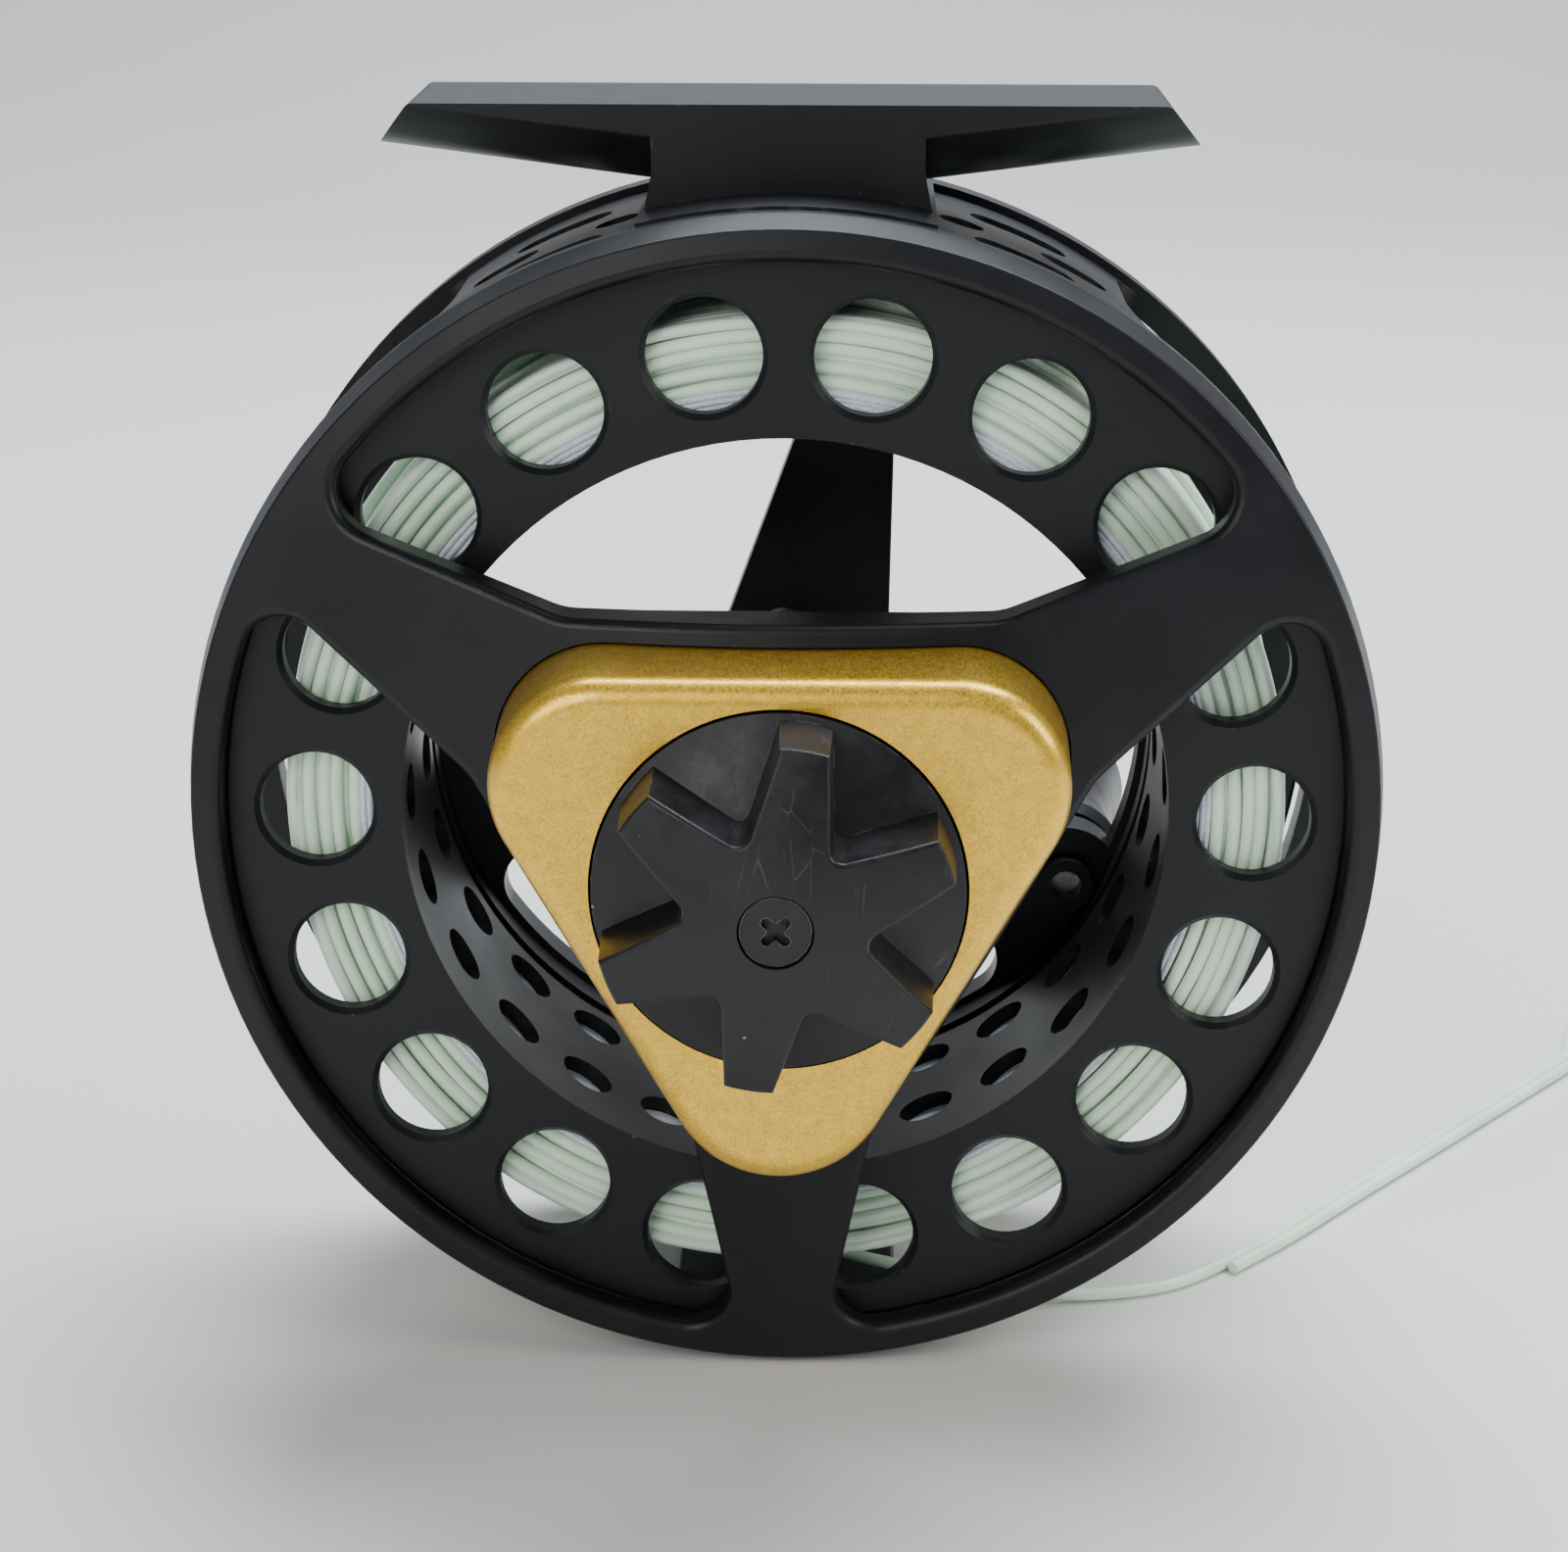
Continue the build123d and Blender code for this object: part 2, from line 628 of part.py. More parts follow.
with BuildPart() as stator:
    with BuildSketch(facing(stack_front + plate_thickness)) as plate:
        Circle(housing_inner_r - slide_gap)
        with PolarLocations(housing_inner_r - 1, 3, start_angle=-90):
            Rectangle(3.2, 3)
        Circle(hub_hex / 2 / cos(pi / 6) + 0.25, mode=Mode.SUBTRACT)
    extrude(plate.sketch, amount=plate_thickness)
stators = []
for index in range(plate_count):
    stators.append(stator.part.moved(Location((0, index * plate_pitch, 0))))
with BuildPart() as steel_discs:
    add(stators)
save(steel_discs, "steel_discs")

with BuildPart() as carbon_discs:
    for index in range(plate_count):
        front = stack_front + plate_thickness + slide_gap + index * plate_pitch
        collar(housing_inner_r - 0.4, 0, front, front + plate_thickness)
        hexagon(hub_hex + 2 * slide_gap, front, front + plate_thickness, mode=Mode.SUBTRACT)
save(carbon_discs, "carbon_discs")

hub_end = gear_front + 4.7
with BuildPart() as drag_hub:
    collar(neck_r, spindle_r + run_gap, shoulder_back + 0.1, hub_end)
    hexagon(hub_hex, stack_front + plate_thickness, stack_back)
    collar(spindle_r + run_gap, 0, shoulder_back, hub_end, mode=Mode.SUBTRACT)
save(drag_hub, "drag_hub")

with BuildPart() as drag_housing:
    collar(housing_r, housing_inner_r, hub_back, housing_back)
    collar(housing_r, seal_r, housing_back - housing_wall, housing_back)
    with BuildSketch(facing(hub_back + housing_ear)) as ears:
        with Locations(*around(housing_screw_circle, *three_sides)):
            Circle(housing_ear_r)
        Circle(housing_inner_r + 0.5, mode=Mode.SUBTRACT)
    extrude(ears.sketch, amount=housing_ear)
    fillet(drag_housing.faces().sort_by(Axis.Y)[-1].outer_wire().edges(), 0.5)
    with BuildSketch(facing(housing_back - housing_wall)) as keyways:
        with PolarLocations(housing_inner_r - 1, 3, start_angle=-90):
            Rectangle(3.4, 3.1)
    extrude(keyways.sketch, amount=housing_back - housing_wall - hub_back, mode=Mode.SUBTRACT)
    rods(around(housing_screw_circle, *three_sides), small_screw_r, hub_back - 1, 1, mode=Mode.SUBTRACT)
save(drag_housing, "drag_housing")

with BuildPart() as housing_screws:
    for place in around(housing_screw_circle, *three_sides):
        turned_about(place, (0, hub_back - 1.3), (small_screw_r, hub_back - 1.3), (small_screw_r, hub_back + housing_ear),
                     (1.35, hub_back + housing_ear), (1.35, hub_back + housing_ear + 0.9),
                     (0, hub_back + housing_ear + 0.9))
save(housing_screws, "housing_screws")

with BuildPart() as lip_seal:
    collar(seal_r, neck_r + run_gap, housing_back - housing_wall, housing_back)
save(lip_seal, "lip_seal")

# ---- click pawl on its pin ----
pawl_place = around(pawl_circle, pawl_angle)[0]
pawl_front = gear_front + 0.1
pawl_back = gear_front + gear_thickness - 0.1
with BuildPart() as pawl_pin:
    rods([pawl_place], pawl_pin_r, hub_back - 1.2, pawl_back + 0.6)
    rods([pawl_place], pawl_pin_r + 0.7, hub_back, pawl_front - 1.25)
save(pawl_pin, "pawl_pin")

pawl_reach = pawl_circle - gear_r - 0.15
with BuildPart() as click_pawl:
    with BuildSketch(facing(pawl_back, *pawl_place, turn=pawl_angle + 180)) as pawl_outline:
        Circle(2.2)
        Polygon((-1.5, 0), (1.5, 0), (0.3, pawl_reach), (-0.3, pawl_reach), align=None)
        Circle(pawl_pin_r + run_gap, mode=Mode.SUBTRACT)
    extrude(pawl_outline.sketch, amount=pawl_back - pawl_front)
save(click_pawl, "click_pawl")

with BuildPart() as pawl_spring:
    with BuildSketch(facing(pawl_front - 0.15, *pawl_place, turn=pawl_angle + 180)) as spring_outline:
        Circle(1.5)
        with Locations((1.35, 1.7)):
            Rectangle(0.3, 3.4)
        Circle(pawl_pin_r, mode=Mode.SUBTRACT)
    extrude(spring_outline.sketch, amount=0.9)
save(pawl_spring, "pawl_spring")

# ---- spool: two drilled flanges, ventilated arbor, far spokes and hub ----
far_half = 60 + far_spoke_taper
with BuildPart() as spool:
    collar(flange_r, flange_bore, flange_front, flange_back)
    collar(arbor_outer_r, arbor_inner_r, flange_front + 0.5, far_flange_back)
    collar(flange_r, arbor_inner_r, far_flange_front, far_flange_back)
    fillet(spool.edges().filter_by(GeomType.CIRCLE).filter_by(lambda e: abs(e.radius - flange_r) < 0.01), 0.5)
    with BuildSketch(facing(spoke_back, turn=far_spoke_turn)) as spokes:
        Circle(arbor_inner_r + 0.6)
        with BuildSketch(mode=Mode.PRIVATE) as gap:
            Polygon(*wedge(far_spoke_edge / sin(radians(far_half)), far_half, 40), align=None)
            Circle(arbor_inner_r - 0.5, mode=Mode.INTERSECT)
            fillet(gap.vertices().filter_by(lambda v: hypot(v.X, v.Y) > arbor_inner_r - 1), 3)
        with PolarLocations(0, 3, start_angle=180):
            add(gap.sketch, mode=Mode.SUBTRACT)
    extrude(spokes.sketch, amount=spoke_back - spoke_front)
    with BuildSketch(facing(far_flange_back)) as pad:
        with Locations(*around(handle_circle, handle_angle)):
            Circle(pad_r)
        Circle(arbor_inner_r + 0.6, mode=Mode.INTERSECT)
    extrude(pad.sketch, amount=far_flange_back - spoke_front)
    rods(around(handle_circle, handle_angle), pad_boss_r, spoke_front - 1.5, spoke_front)
    collar(hub_tube_r, 0, hub_front_end, latch_boss_back)
    collar(gear_seat_r, 0, gear_front, hub_front_end)
    # bores, latch slot and drilled holes
    collar(bearing_outer_r, 0, gear_front - 1, rear_bearing_back, mode=Mode.SUBTRACT)
    collar(spindle_r + 0.2, 0, gear_front, latch_boss_back + 1, mode=Mode.SUBTRACT)
    with BuildSketch(facing(latch_boss_back + 1, turn=latch_angle)) as latch_slot:
        with Locations((0, -latch_slot_end)):
            Rectangle(latch_width + 2 * slide_gap, 25, align=(Align.CENTER, Align.MIN))
    extrude(latch_slot.sketch, amount=latch_boss_back + 1 - latch_front + slide_gap, mode=Mode.SUBTRACT)
    rods(around(latch_screw_circle, latch_angle - 90, latch_angle + 90), small_screw_r,
         latch_boss_back - 1.9, latch_boss_back + 1, mode=Mode.SUBTRACT)
    rods(around(handle_circle, handle_angle), foot_screw_r, spoke_front - 3, far_flange_back + 1,
         mode=Mode.SUBTRACT)
    rim_angles = [rim_hole_turn + 360 / rim_hole_count * index for index in range(rim_hole_count)]
    rods(around(rim_hole_circle, *rim_angles), rim_hole_r, flange_front - 1, flange_back + 1, mode=Mode.SUBTRACT)
    rods(around(rim_hole_circle, *rim_angles), rim_hole_r, far_flange_front - 1, far_flange_back + 1,
         mode=Mode.SUBTRACT)
    hole_rims = spool.edges().filter_by(GeomType.CIRCLE).filter_by(lambda e: abs(e.radius - rim_hole_r) < 0.01)
    outer_rims = hole_rims.group_by(Axis.Y)[0] + hole_rims.group_by(Axis.Y)[-1]
    chamfer(outer_rims, rim_hole_bevel)
    collar(arbor_inner_r + 0.4, arbor_inner_r - 0.1, 22.3, 23.9, mode=Mode.SUBTRACT)
    arbor_places = []
    for row in arbor_rows:
        for index in range(arbor_hole_count):
            angle = arbor_hole_turn + 360 / arbor_hole_count * index
            arbor_places.append(Location(radial_plane(angle, row, arbor_inner_r)))
    with Locations(*arbor_places):
        Cylinder(arbor_hole_r, 4, mode=Mode.SUBTRACT)
save(spool, "spool")

with BuildPart() as click_gear:
    with BuildSketch(facing(gear_front + gear_thickness)) as gear_outline:
        Circle(gear_r)
        with PolarLocations(gear_r, gear_teeth):
            Rectangle(1.3, 0.9, mode=Mode.SUBTRACT)
        Circle(gear_seat_r, mode=Mode.SUBTRACT)
    extrude(gear_outline.sketch, amount=gear_thickness)
save(click_gear, "click_gear")

with BuildPart() as clutch:
    collar(bearing_outer_r, neck_r + run_gap, gear_front + 0.4, hub_end)
save(clutch, "clutch_bearing")

for name, front in (("front_bearing", hub_end + 0.1), ("rear_bearing", rear_bearing_back - bearing_width)):
    with BuildPart() as bearing:
        collar(bearing_outer_r, spindle_r + run_gap, front, front + bearing_width)
        collar(bearing_outer_r - 0.9, spindle_r + 0.9, front - 1, front + 0.25, mode=Mode.SUBTRACT)
        collar(bearing_outer_r - 0.9, spindle_r + 0.9, front + bearing_width - 0.25, front + bearing_width + 1,
               mode=Mode.SUBTRACT)
    save(bearing, name)

with BuildPart() as bearing_spacer:
    collar(bearing_outer_r - 0.05, spindle_r + 0.8, hub_end + 0.1 + bearing_width, rear_bearing_back - bearing_width)
save(bearing_spacer, "bearing_spacer")

with BuildPart() as counterweight:
    for place in around(rim_hole_circle, counterweight_angle):
        turned_about(place, (0, far_flange_front), (rim_hole_r - 0.05, far_flange_front),
                     (rim_hole_r - 0.05, far_flange_back), (rim_hole_r + 0.8, far_flange_back),
                     (rim_hole_r + 0.8, far_flange_back + 0.9), (rim_hole_r, far_flange_back + 1.5),
                     (0, far_flange_back + 1.5))
save(counterweight, "counterweight")

# ---- spool latch under its cap ----
latch_back = latch_front + latch_thickness
with BuildPart() as latch_plate:
    with BuildSketch(facing(latch_back, turn=latch_angle)) as latch_outline:
        with Locations((0, (latch_tab - latch_tail) / 2)):
            Rectangle(latch_width, latch_tab + latch_tail)
        fillet(latch_outline.vertices(), 0.8)
        with Locations((0, latch_travel)):
            Circle(spindle_r + 0.15, mode=Mode.SUBTRACT)
    extrude(latch_outline.sketch, amount=latch_thickness)
save(latch_plate, "latch_plate")

with BuildPart() as latch_spring:
    with BuildSketch(facing(latch_back, turn=latch_angle)) as leaf:
        with BuildLine():
            ThreePointArc((-3.6, -7.4), (0, -latch_tail - 0.02), (3.6, -7.4))
            Line((3.6, -7.4), (3.2, -7.6))
            ThreePointArc((3.2, -7.6), (0, -latch_tail - 0.32), (-3.2, -7.6))
            Line((-3.2, -7.6), (-3.6, -7.4))
        make_face()
    extrude(leaf.sketch, amount=latch_thickness)
save(latch_spring, "latch_spring")

with BuildPart() as latch_cap:
    collar(hub_tube_r, 0, latch_boss_back, latch_boss_back + cap_thickness)
    fillet(latch_cap.edges().sort_by(Axis.Y)[-1], 0.8)
    collar(spindle_r + 0.3, 0, latch_boss_back - 1, spindle_back + 0.2, mode=Mode.SUBTRACT)
    rods(around(latch_screw_circle, latch_angle - 90, latch_angle + 90), small_screw_r, latch_boss_back - 1,
         latch_boss_back + 5, mode=Mode.SUBTRACT)
    rods(around(latch_screw_circle, latch_angle - 90, latch_angle + 90), 1.4, latch_boss_back + 0.9,
         latch_boss_back + 5, mode=Mode.SUBTRACT)
save(latch_cap, "latch_cap")

with BuildPart() as latch_screws:
    for place in around(latch_screw_circle, latch_angle - 90, latch_angle + 90):
        turned_about(place, (0, latch_boss_back - 1.7), (small_screw_r, latch_boss_back - 1.7),
                     (small_screw_r, latch_boss_back + 0.9), (1.35, latch_boss_back + 0.9),
                     (1.35, latch_boss_back + 1.7), (0, latch_boss_back + 1.7))
save(latch_screws, "latch_screws")

# ---- crank handle ----
handle_place = around(handle_circle, handle_angle)[0]
handle_x, handle_z = handle_place
post_back = handle_back
post_shoulder = far_flange_back + 1
grip_front = far_flange_back + 1.6 + slide_gap
grip_back = handle_back - slide_gap
with BuildPart() as handle_post:
    turned_about(handle_place, (0, spoke_front + 0.6), (foot_screw_r, spoke_front + 0.6), (foot_screw_r, far_flange_back),
                 (3.3, far_flange_back), (3.3, post_shoulder), (post_r, post_shoulder), (post_r, post_back),
                 (1.0, post_back), (1.0, post_back - 6.5), (0, post_back - 6.5))
save(handle_post, "handle_post")

with BuildPart() as handle_washer:
    turned_about(handle_place, (post_r + run_gap, post_shoulder), (3.7, post_shoulder), (3.7, post_shoulder + 0.6),
                 (post_r + run_gap, post_shoulder + 0.6))
save(handle_washer, "handle_washer")

with BuildPart() as handle_knob:
    lathe = Plane(origin=(handle_x, face_y, axle_z + handle_z), x_dir=(1, 0, 0), z_dir=(0, 0, 1))
    with BuildSketch(lathe) as grip:
        with BuildLine():
            Spline((handle_base_r, grip_front + 0.8), (handle_base_r - 0.45, grip_front + 6.5),
                   (handle_base_r + 0.3, grip_front + 13), (handle_top_r, grip_back - 1.6))
            Line((handle_top_r, grip_back - 1.6), (handle_top_r - 1.2, grip_back))
            Line((handle_top_r - 1.2, grip_back), (post_r + run_gap, grip_back))
            Line((post_r + run_gap, grip_back), (post_r + run_gap, grip_front))
            Line((post_r + run_gap, grip_front), (handle_base_r - 0.7, grip_front))
            Line((handle_base_r - 0.7, grip_front), (handle_base_r, grip_front + 0.8))
        make_face()
    revolve(grip.sketch, axis=Axis((handle_x, 0, axle_z + handle_z), (0, 1, 0)))
save(handle_knob, "handle_knob")

with BuildPart() as handle_screw:
    turned_about(handle_place, (0, post_back - 6), (1.0, post_back - 6), (1.0, post_back), (3.1, post_back),
                 (3.1, post_back + handle_screw_head - 0.4), (2.6, post_back + handle_screw_head),
                 (0, post_back + handle_screw_head))
    with BuildSketch(facing(post_back + handle_screw_head, handle_x, handle_z)) as driver_slot:
        Rectangle(3.6, 0.7)
    extrude(driver_slot.sketch, amount=0.6, mode=Mode.SUBTRACT)
save(handle_screw, "handle_screw")

# ---- backing and line wound on the spool ----
with BuildPart() as backing:
    collar(backing_r, arbor_outer_r, flange_back, far_flange_front)
save(backing, "backing")

with BuildPart() as line_winding:
    collar(winding_r, backing_r, flange_back, far_flange_front)
save(line_winding, "line_winding")

# ---- free end of the line: leaves under the spool and ends in a welded loop ----
doubled_route = []
for before, here, after in zip(line_route[doubled_from - 1:], line_route[doubled_from:],
                               line_route[doubled_from + 1:] + line_route[-1:]):
    run = hypot(after[0] - before[0], after[1] - before[1])
    along_x = (after[0] - before[0]) / run
    along_depth = (after[1] - before[1]) / run
    doubled_route.append((here[0] + along_depth * line_d, here[1] - along_x * line_d, lay_height))
middle_x = (line_route[-1][0] + doubled_route[-1][0]) / 2
middle_depth = (line_route[-1][1] + doubled_route[-1][1]) / 2
loop_route = [line_route[-1]]
for along, across in loop_shape:
    x = middle_x + along * along_x + across * along_depth
    depth = middle_depth + along * along_depth - across * along_x
    loop_route.append((x, depth, lay_height))
loop_route.append(doubled_route[-1])
with BuildPart() as free_line:
    free_bend = cord(*line_route)
save(free_line, "free_line")

with BuildPart() as doubled_line:
    doubled_bend = cord(*doubled_route)
save(doubled_line, "doubled_line")

with BuildPart() as line_loop:
    loop_bend = cord(*loop_route)
save(line_loop, "line_loop")

for name, bend, piece in (("free_line", free_bend, free_line), ("doubled_line", doubled_bend, doubled_line),
                          ("line_loop", loop_bend, line_loop)):
    length = piece.part.volume / (pi * line_d ** 2 / 4)
    print(f"{name}: smallest bend radius {bend:.2f}, length {length:.1f} mm")
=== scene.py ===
"""Fly reel: finishes for its machined parts, the wound and the free line, and a studio."""

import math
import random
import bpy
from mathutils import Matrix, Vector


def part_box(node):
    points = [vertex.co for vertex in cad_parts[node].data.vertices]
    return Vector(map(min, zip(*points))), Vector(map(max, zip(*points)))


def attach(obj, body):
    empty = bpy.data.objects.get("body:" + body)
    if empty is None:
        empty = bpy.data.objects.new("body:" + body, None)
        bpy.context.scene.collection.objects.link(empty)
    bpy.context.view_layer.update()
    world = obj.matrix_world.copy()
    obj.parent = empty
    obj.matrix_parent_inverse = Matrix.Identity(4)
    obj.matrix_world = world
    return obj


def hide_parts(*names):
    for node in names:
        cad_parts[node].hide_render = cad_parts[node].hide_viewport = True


bl_info = {
    "name": "Fly Reel",
    "version": (1, 0, 0),
    "blender": (4, 5, 0),
    "location": "View3D > Sidebar > Fly Reel",
    "description": "Dresses a fly reel and winds its line",
    "category": "Object",
}

import bpy
import numpy as np
from bpy.props import FloatProperty, FloatVectorProperty, IntProperty, PointerProperty
from mathutils import Matrix, Vector

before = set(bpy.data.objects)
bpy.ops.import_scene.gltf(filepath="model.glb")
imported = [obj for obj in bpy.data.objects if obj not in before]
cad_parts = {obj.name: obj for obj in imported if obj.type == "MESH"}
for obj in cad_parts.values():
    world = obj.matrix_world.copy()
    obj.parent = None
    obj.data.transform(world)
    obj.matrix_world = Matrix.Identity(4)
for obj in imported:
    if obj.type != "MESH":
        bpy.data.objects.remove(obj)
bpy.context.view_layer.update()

MM = 0.001
RIM_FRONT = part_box("frame")[1].y - 30 * MM      # front edge of the front rim
AXLE = (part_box("spool")[0].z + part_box("spool")[1].z) / 2


def spot(x, depth, height):
    """Place given in millimetres: across, behind the front rim's edge, above the spindle."""
    return Vector((x * MM, RIM_FRONT + depth * MM, AXLE + height * MM))


def on_circle(radius, angle, depth):
    """Place at a radius and an angle (radians, clockwise from the top) about the spindle."""
    return spot(radius * math.sin(angle), depth, radius * math.cos(angle))


# ---------------------------------------------------------------- shader helpers


class Finish:
    """A node material with a Principled shader, and short ways to feed it."""

    def __init__(self, name, color, roughness, metallic=0.0, **sockets):
        self.material = bpy.data.materials.new(name)
        self.material.use_nodes = True
        self.nodes = self.material.node_tree.nodes
        self.links = self.material.node_tree.links
        self.shader = self.nodes["Principled BSDF"]
        self.set("Base Color", (*color, 1.0))
        self.set("Roughness", roughness)
        self.set("Metallic", metallic)
        for socket, value in sockets.items():
            self.set(socket.replace("_", " "), value)
        self.material.diffuse_color = (*color, 1.0)
        coords = self.nodes.new("ShaderNodeTexCoord")
        self.place = coords.outputs["Object"]

    def set(self, socket, value):
        self.shader.inputs[socket].default_value = value

    def join(self, source, target):
        self.links.new(source, target)

    def node(self, kind, inputs=None, **settings):
        node = self.nodes.new(kind)
        for key, value in settings.items():
            setattr(node, key, value)
        for key, value in (inputs or {}).items():
            socket = node.inputs[key]
            if isinstance(value, bpy.types.NodeSocket):
                self.join(value, socket)
            else:
                socket.default_value = value
        return node

    def noise(self, size_mm, detail=3.0, roughness=0.55, stretch=None, distortion=0.0):
        """Noise with features of about this size, stretched along an axis if asked."""
        vector = self.place
        if stretch:
            vector = self.node("ShaderNodeMapping", {"Vector": vector, "Scale": stretch}).outputs[0]
        return self.node(
            "ShaderNodeTexNoise",
            {"Vector": vector, "Scale": 1000.0 / size_mm, "Detail": detail, "Roughness": roughness,
             "Distortion": distortion},
        ).outputs["Fac"]

    def cells(self, size_mm, feature="F1", randomness=1.0, stretch=None):
        vector = self.place
        if stretch:
            vector = self.node("ShaderNodeMapping", {"Vector": vector, "Scale": stretch}).outputs[0]
        return self.node(
            "ShaderNodeTexVoronoi",
            {"Vector": vector, "Scale": 1000.0 / size_mm, "Randomness": randomness},
            feature=feature,
        )

    def ramp(self, value, low, high, start=0.0, end=1.0, smooth=True):
        """Number eased from start to end while the value goes from low to high."""
        return self.node(
            "ShaderNodeMapRange",
            {"Value": value, "From Min": low, "From Max": high, "To Min": start, "To Max": end},
            interpolation_type="SMOOTHSTEP" if smooth else "LINEAR",
        ).outputs["Result"]

    def math(self, operation, a, b=0.0):
        return self.node("ShaderNodeMath", {0: a, 1: b}, operation=operation).outputs[0]

    def mix(self, factor, a, b):
        """Colour a changed to colour b by a factor."""
        node = self.node("ShaderNodeMix", data_type="RGBA")
        for index, value in ((0, factor), (6, a), (7, b)):
            socket = node.inputs[index]
            if isinstance(value, bpy.types.NodeSocket):
                self.join(value, socket)
            else:
                socket.default_value = value if index == 0 else (*value, 1.0)
        return node.outputs[2]

    def color(self, source):
        self.join(source, self.shader.inputs["Base Color"])

    def rough(self, source):
        self.join(source, self.shader.inputs["Roughness"])

    def bump(self, height, distance_mm, strength=1.0, under=None):
        inputs = {"Height": height, "Distance": distance_mm * MM, "Strength": strength}
        if under is not None:
            inputs["Normal"] = under
        normal = self.node("ShaderNodeBump", inputs).outputs["Normal"]
        self.join(normal, self.shader.inputs["Normal"])
        return normal

    def edge(self, radius_mm):
        """About 1 on sharp edges and 0 on faces."""
        bevel = self.node("ShaderNodeBevel", {"Radius": radius_mm * MM}, samples=4)
        plain = self.node("ShaderNodeNewGeometry").outputs["Normal"]
        dot = self.node(
            "ShaderNodeVectorMath", {0: bevel.outputs[0], 1: plain}, operation="DOT_PRODUCT"
        ).outputs["Value"]
        return self.ramp(dot, 0.98, 0.80)


def dress(finish, *names):
    """Put a finish on CAD nodes."""
    for name in names:
        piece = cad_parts[name]
        for slot in piece.material_slots:
            slot.material = finish.material


def mesh_piece(name, vertices, faces, finish, body, smooth=True):
    """New mesh object that rides on a body."""
    mesh = bpy.data.meshes.new(name)
    mesh.from_pydata([tuple(v) for v in vertices], [], faces)
    mesh.update()
    if smooth:
        mesh.polygons.foreach_set("use_smooth", [True] * len(mesh.polygons))
    piece = bpy.data.objects.new(name, mesh)
    bpy.context.scene.collection.objects.link(piece)
    mesh.materials.append(finish.material)
    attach(piece, body)
    return piece


def tubes(strands, radius, sides=8):
    """Vertices and faces of round strands. A strand is (points, closed)."""
    vertices, faces = [], []
    spin = np.arange(sides) * 2 * math.pi / sides
    for points, closed in strands:
        points = np.array(points, float)
        if closed:
            ahead = np.roll(points, -1, axis=0) - np.roll(points, 1, axis=0)
        else:
            ahead = np.gradient(points, axis=0)
        ahead /= np.linalg.norm(ahead, axis=1)[:, None]
        across = np.cross(ahead, np.array((0.0, 1.0, 0.0)))
        across /= np.linalg.norm(across, axis=1)[:, None]
        up = np.cross(across, ahead)
        base = len(vertices)
        for point, u, v in zip(points, across, up):
            ring = point + radius * (np.cos(spin)[:, None] * u + np.sin(spin)[:, None] * v)
            vertices.extend(ring.tolist())
        count = len(points)
        for i in range(count if closed else count - 1):
            j = (i + 1) % count
            for k in range(sides):
                m = (k + 1) % sides
                faces.append((base + i * sides + k, base + i * sides + m,
                              base + j * sides + m, base + j * sides + k))
        if not closed:
            faces.append(tuple(base + k for k in reversed(range(sides))))
            last = base + (count - 1) * sides
            faces.append(tuple(last + k for k in range(sides)))
    return vertices, faces


# ---------------------------------------------------------------- settings


class FLYREEL_PG_line(bpy.types.PropertyGroup):
    diameter: FloatProperty(
        name="Line diameter", description="Thickness of the coated line", default=1.0 * MM,
        min=0.3 * MM, max=3 * MM, precision=5, unit="LENGTH",
    )
    color: FloatVectorProperty(
        name="Line color", description="Colour of the coated line", subtype="COLOR", size=3,
        default=(0.74, 0.93, 0.74), min=0, max=1,
    )
    backing_diameter: FloatProperty(
        name="Backing diameter", description="Thickness of the braided backing", default=0.46 * MM,
        min=0.2 * MM, max=2 * MM, precision=5, unit="LENGTH",
    )
    backing_color: FloatVectorProperty(
        name="Backing color", description="Colour of the braided backing", subtype="COLOR", size=3,
        default=(0.82, 0.88, 0.95), min=0, max=1,
    )
    seed: IntProperty(name="Seed", description="Changes how the turns wander", default=7, min=0)


class FLYREEL_PG_finishes(bpy.types.PropertyGroup):
    anodised: FloatVectorProperty(
        name="Anodised color", description="Black of the machined aluminium", subtype="COLOR", size=3,
        default=(0.0045, 0.005, 0.0065), min=0, max=1,
    )
    anodised_roughness: FloatProperty(
        name="Anodised roughness", description="How matt the machined aluminium is", subtype="FACTOR",
        default=0.42, min=0, max=1,
    )
    gold: FloatVectorProperty(
        name="Cover color", description="Gold of the painted cover", subtype="COLOR", size=3,
        default=(0.83, 0.49, 0.035), min=0, max=1,
    )
    moulding: FloatVectorProperty(
        name="Moulding color", description="Black of the moulded knob and handle", subtype="COLOR", size=3,
        default=(0.006, 0.006, 0.007), min=0, max=1,
    )


class FLYREEL_PG_studio(bpy.types.PropertyGroup):
    floor: FloatVectorProperty(
        name="Floor color", description="Colour of the studio floor", subtype="COLOR", size=3,
        default=(0.78, 0.76, 0.73), min=0, max=1,
    )
    key_power: FloatProperty(
        name="Key power", description="Power of the overhead soft box", subtype="POWER", unit="POWER",
        default=10.0, min=0,
    )
    fill_power: FloatProperty(
        name="Fill power", description="Power of the front soft box", subtype="POWER", unit="POWER",
        default=3.2, min=0,
    )
    lens: FloatProperty(
        name="Lens", description="Focal length of the camera", subtype="DISTANCE_CAMERA",
        default=77.61, min=10,
    )


# ---------------------------------------------------------------- camera and free line


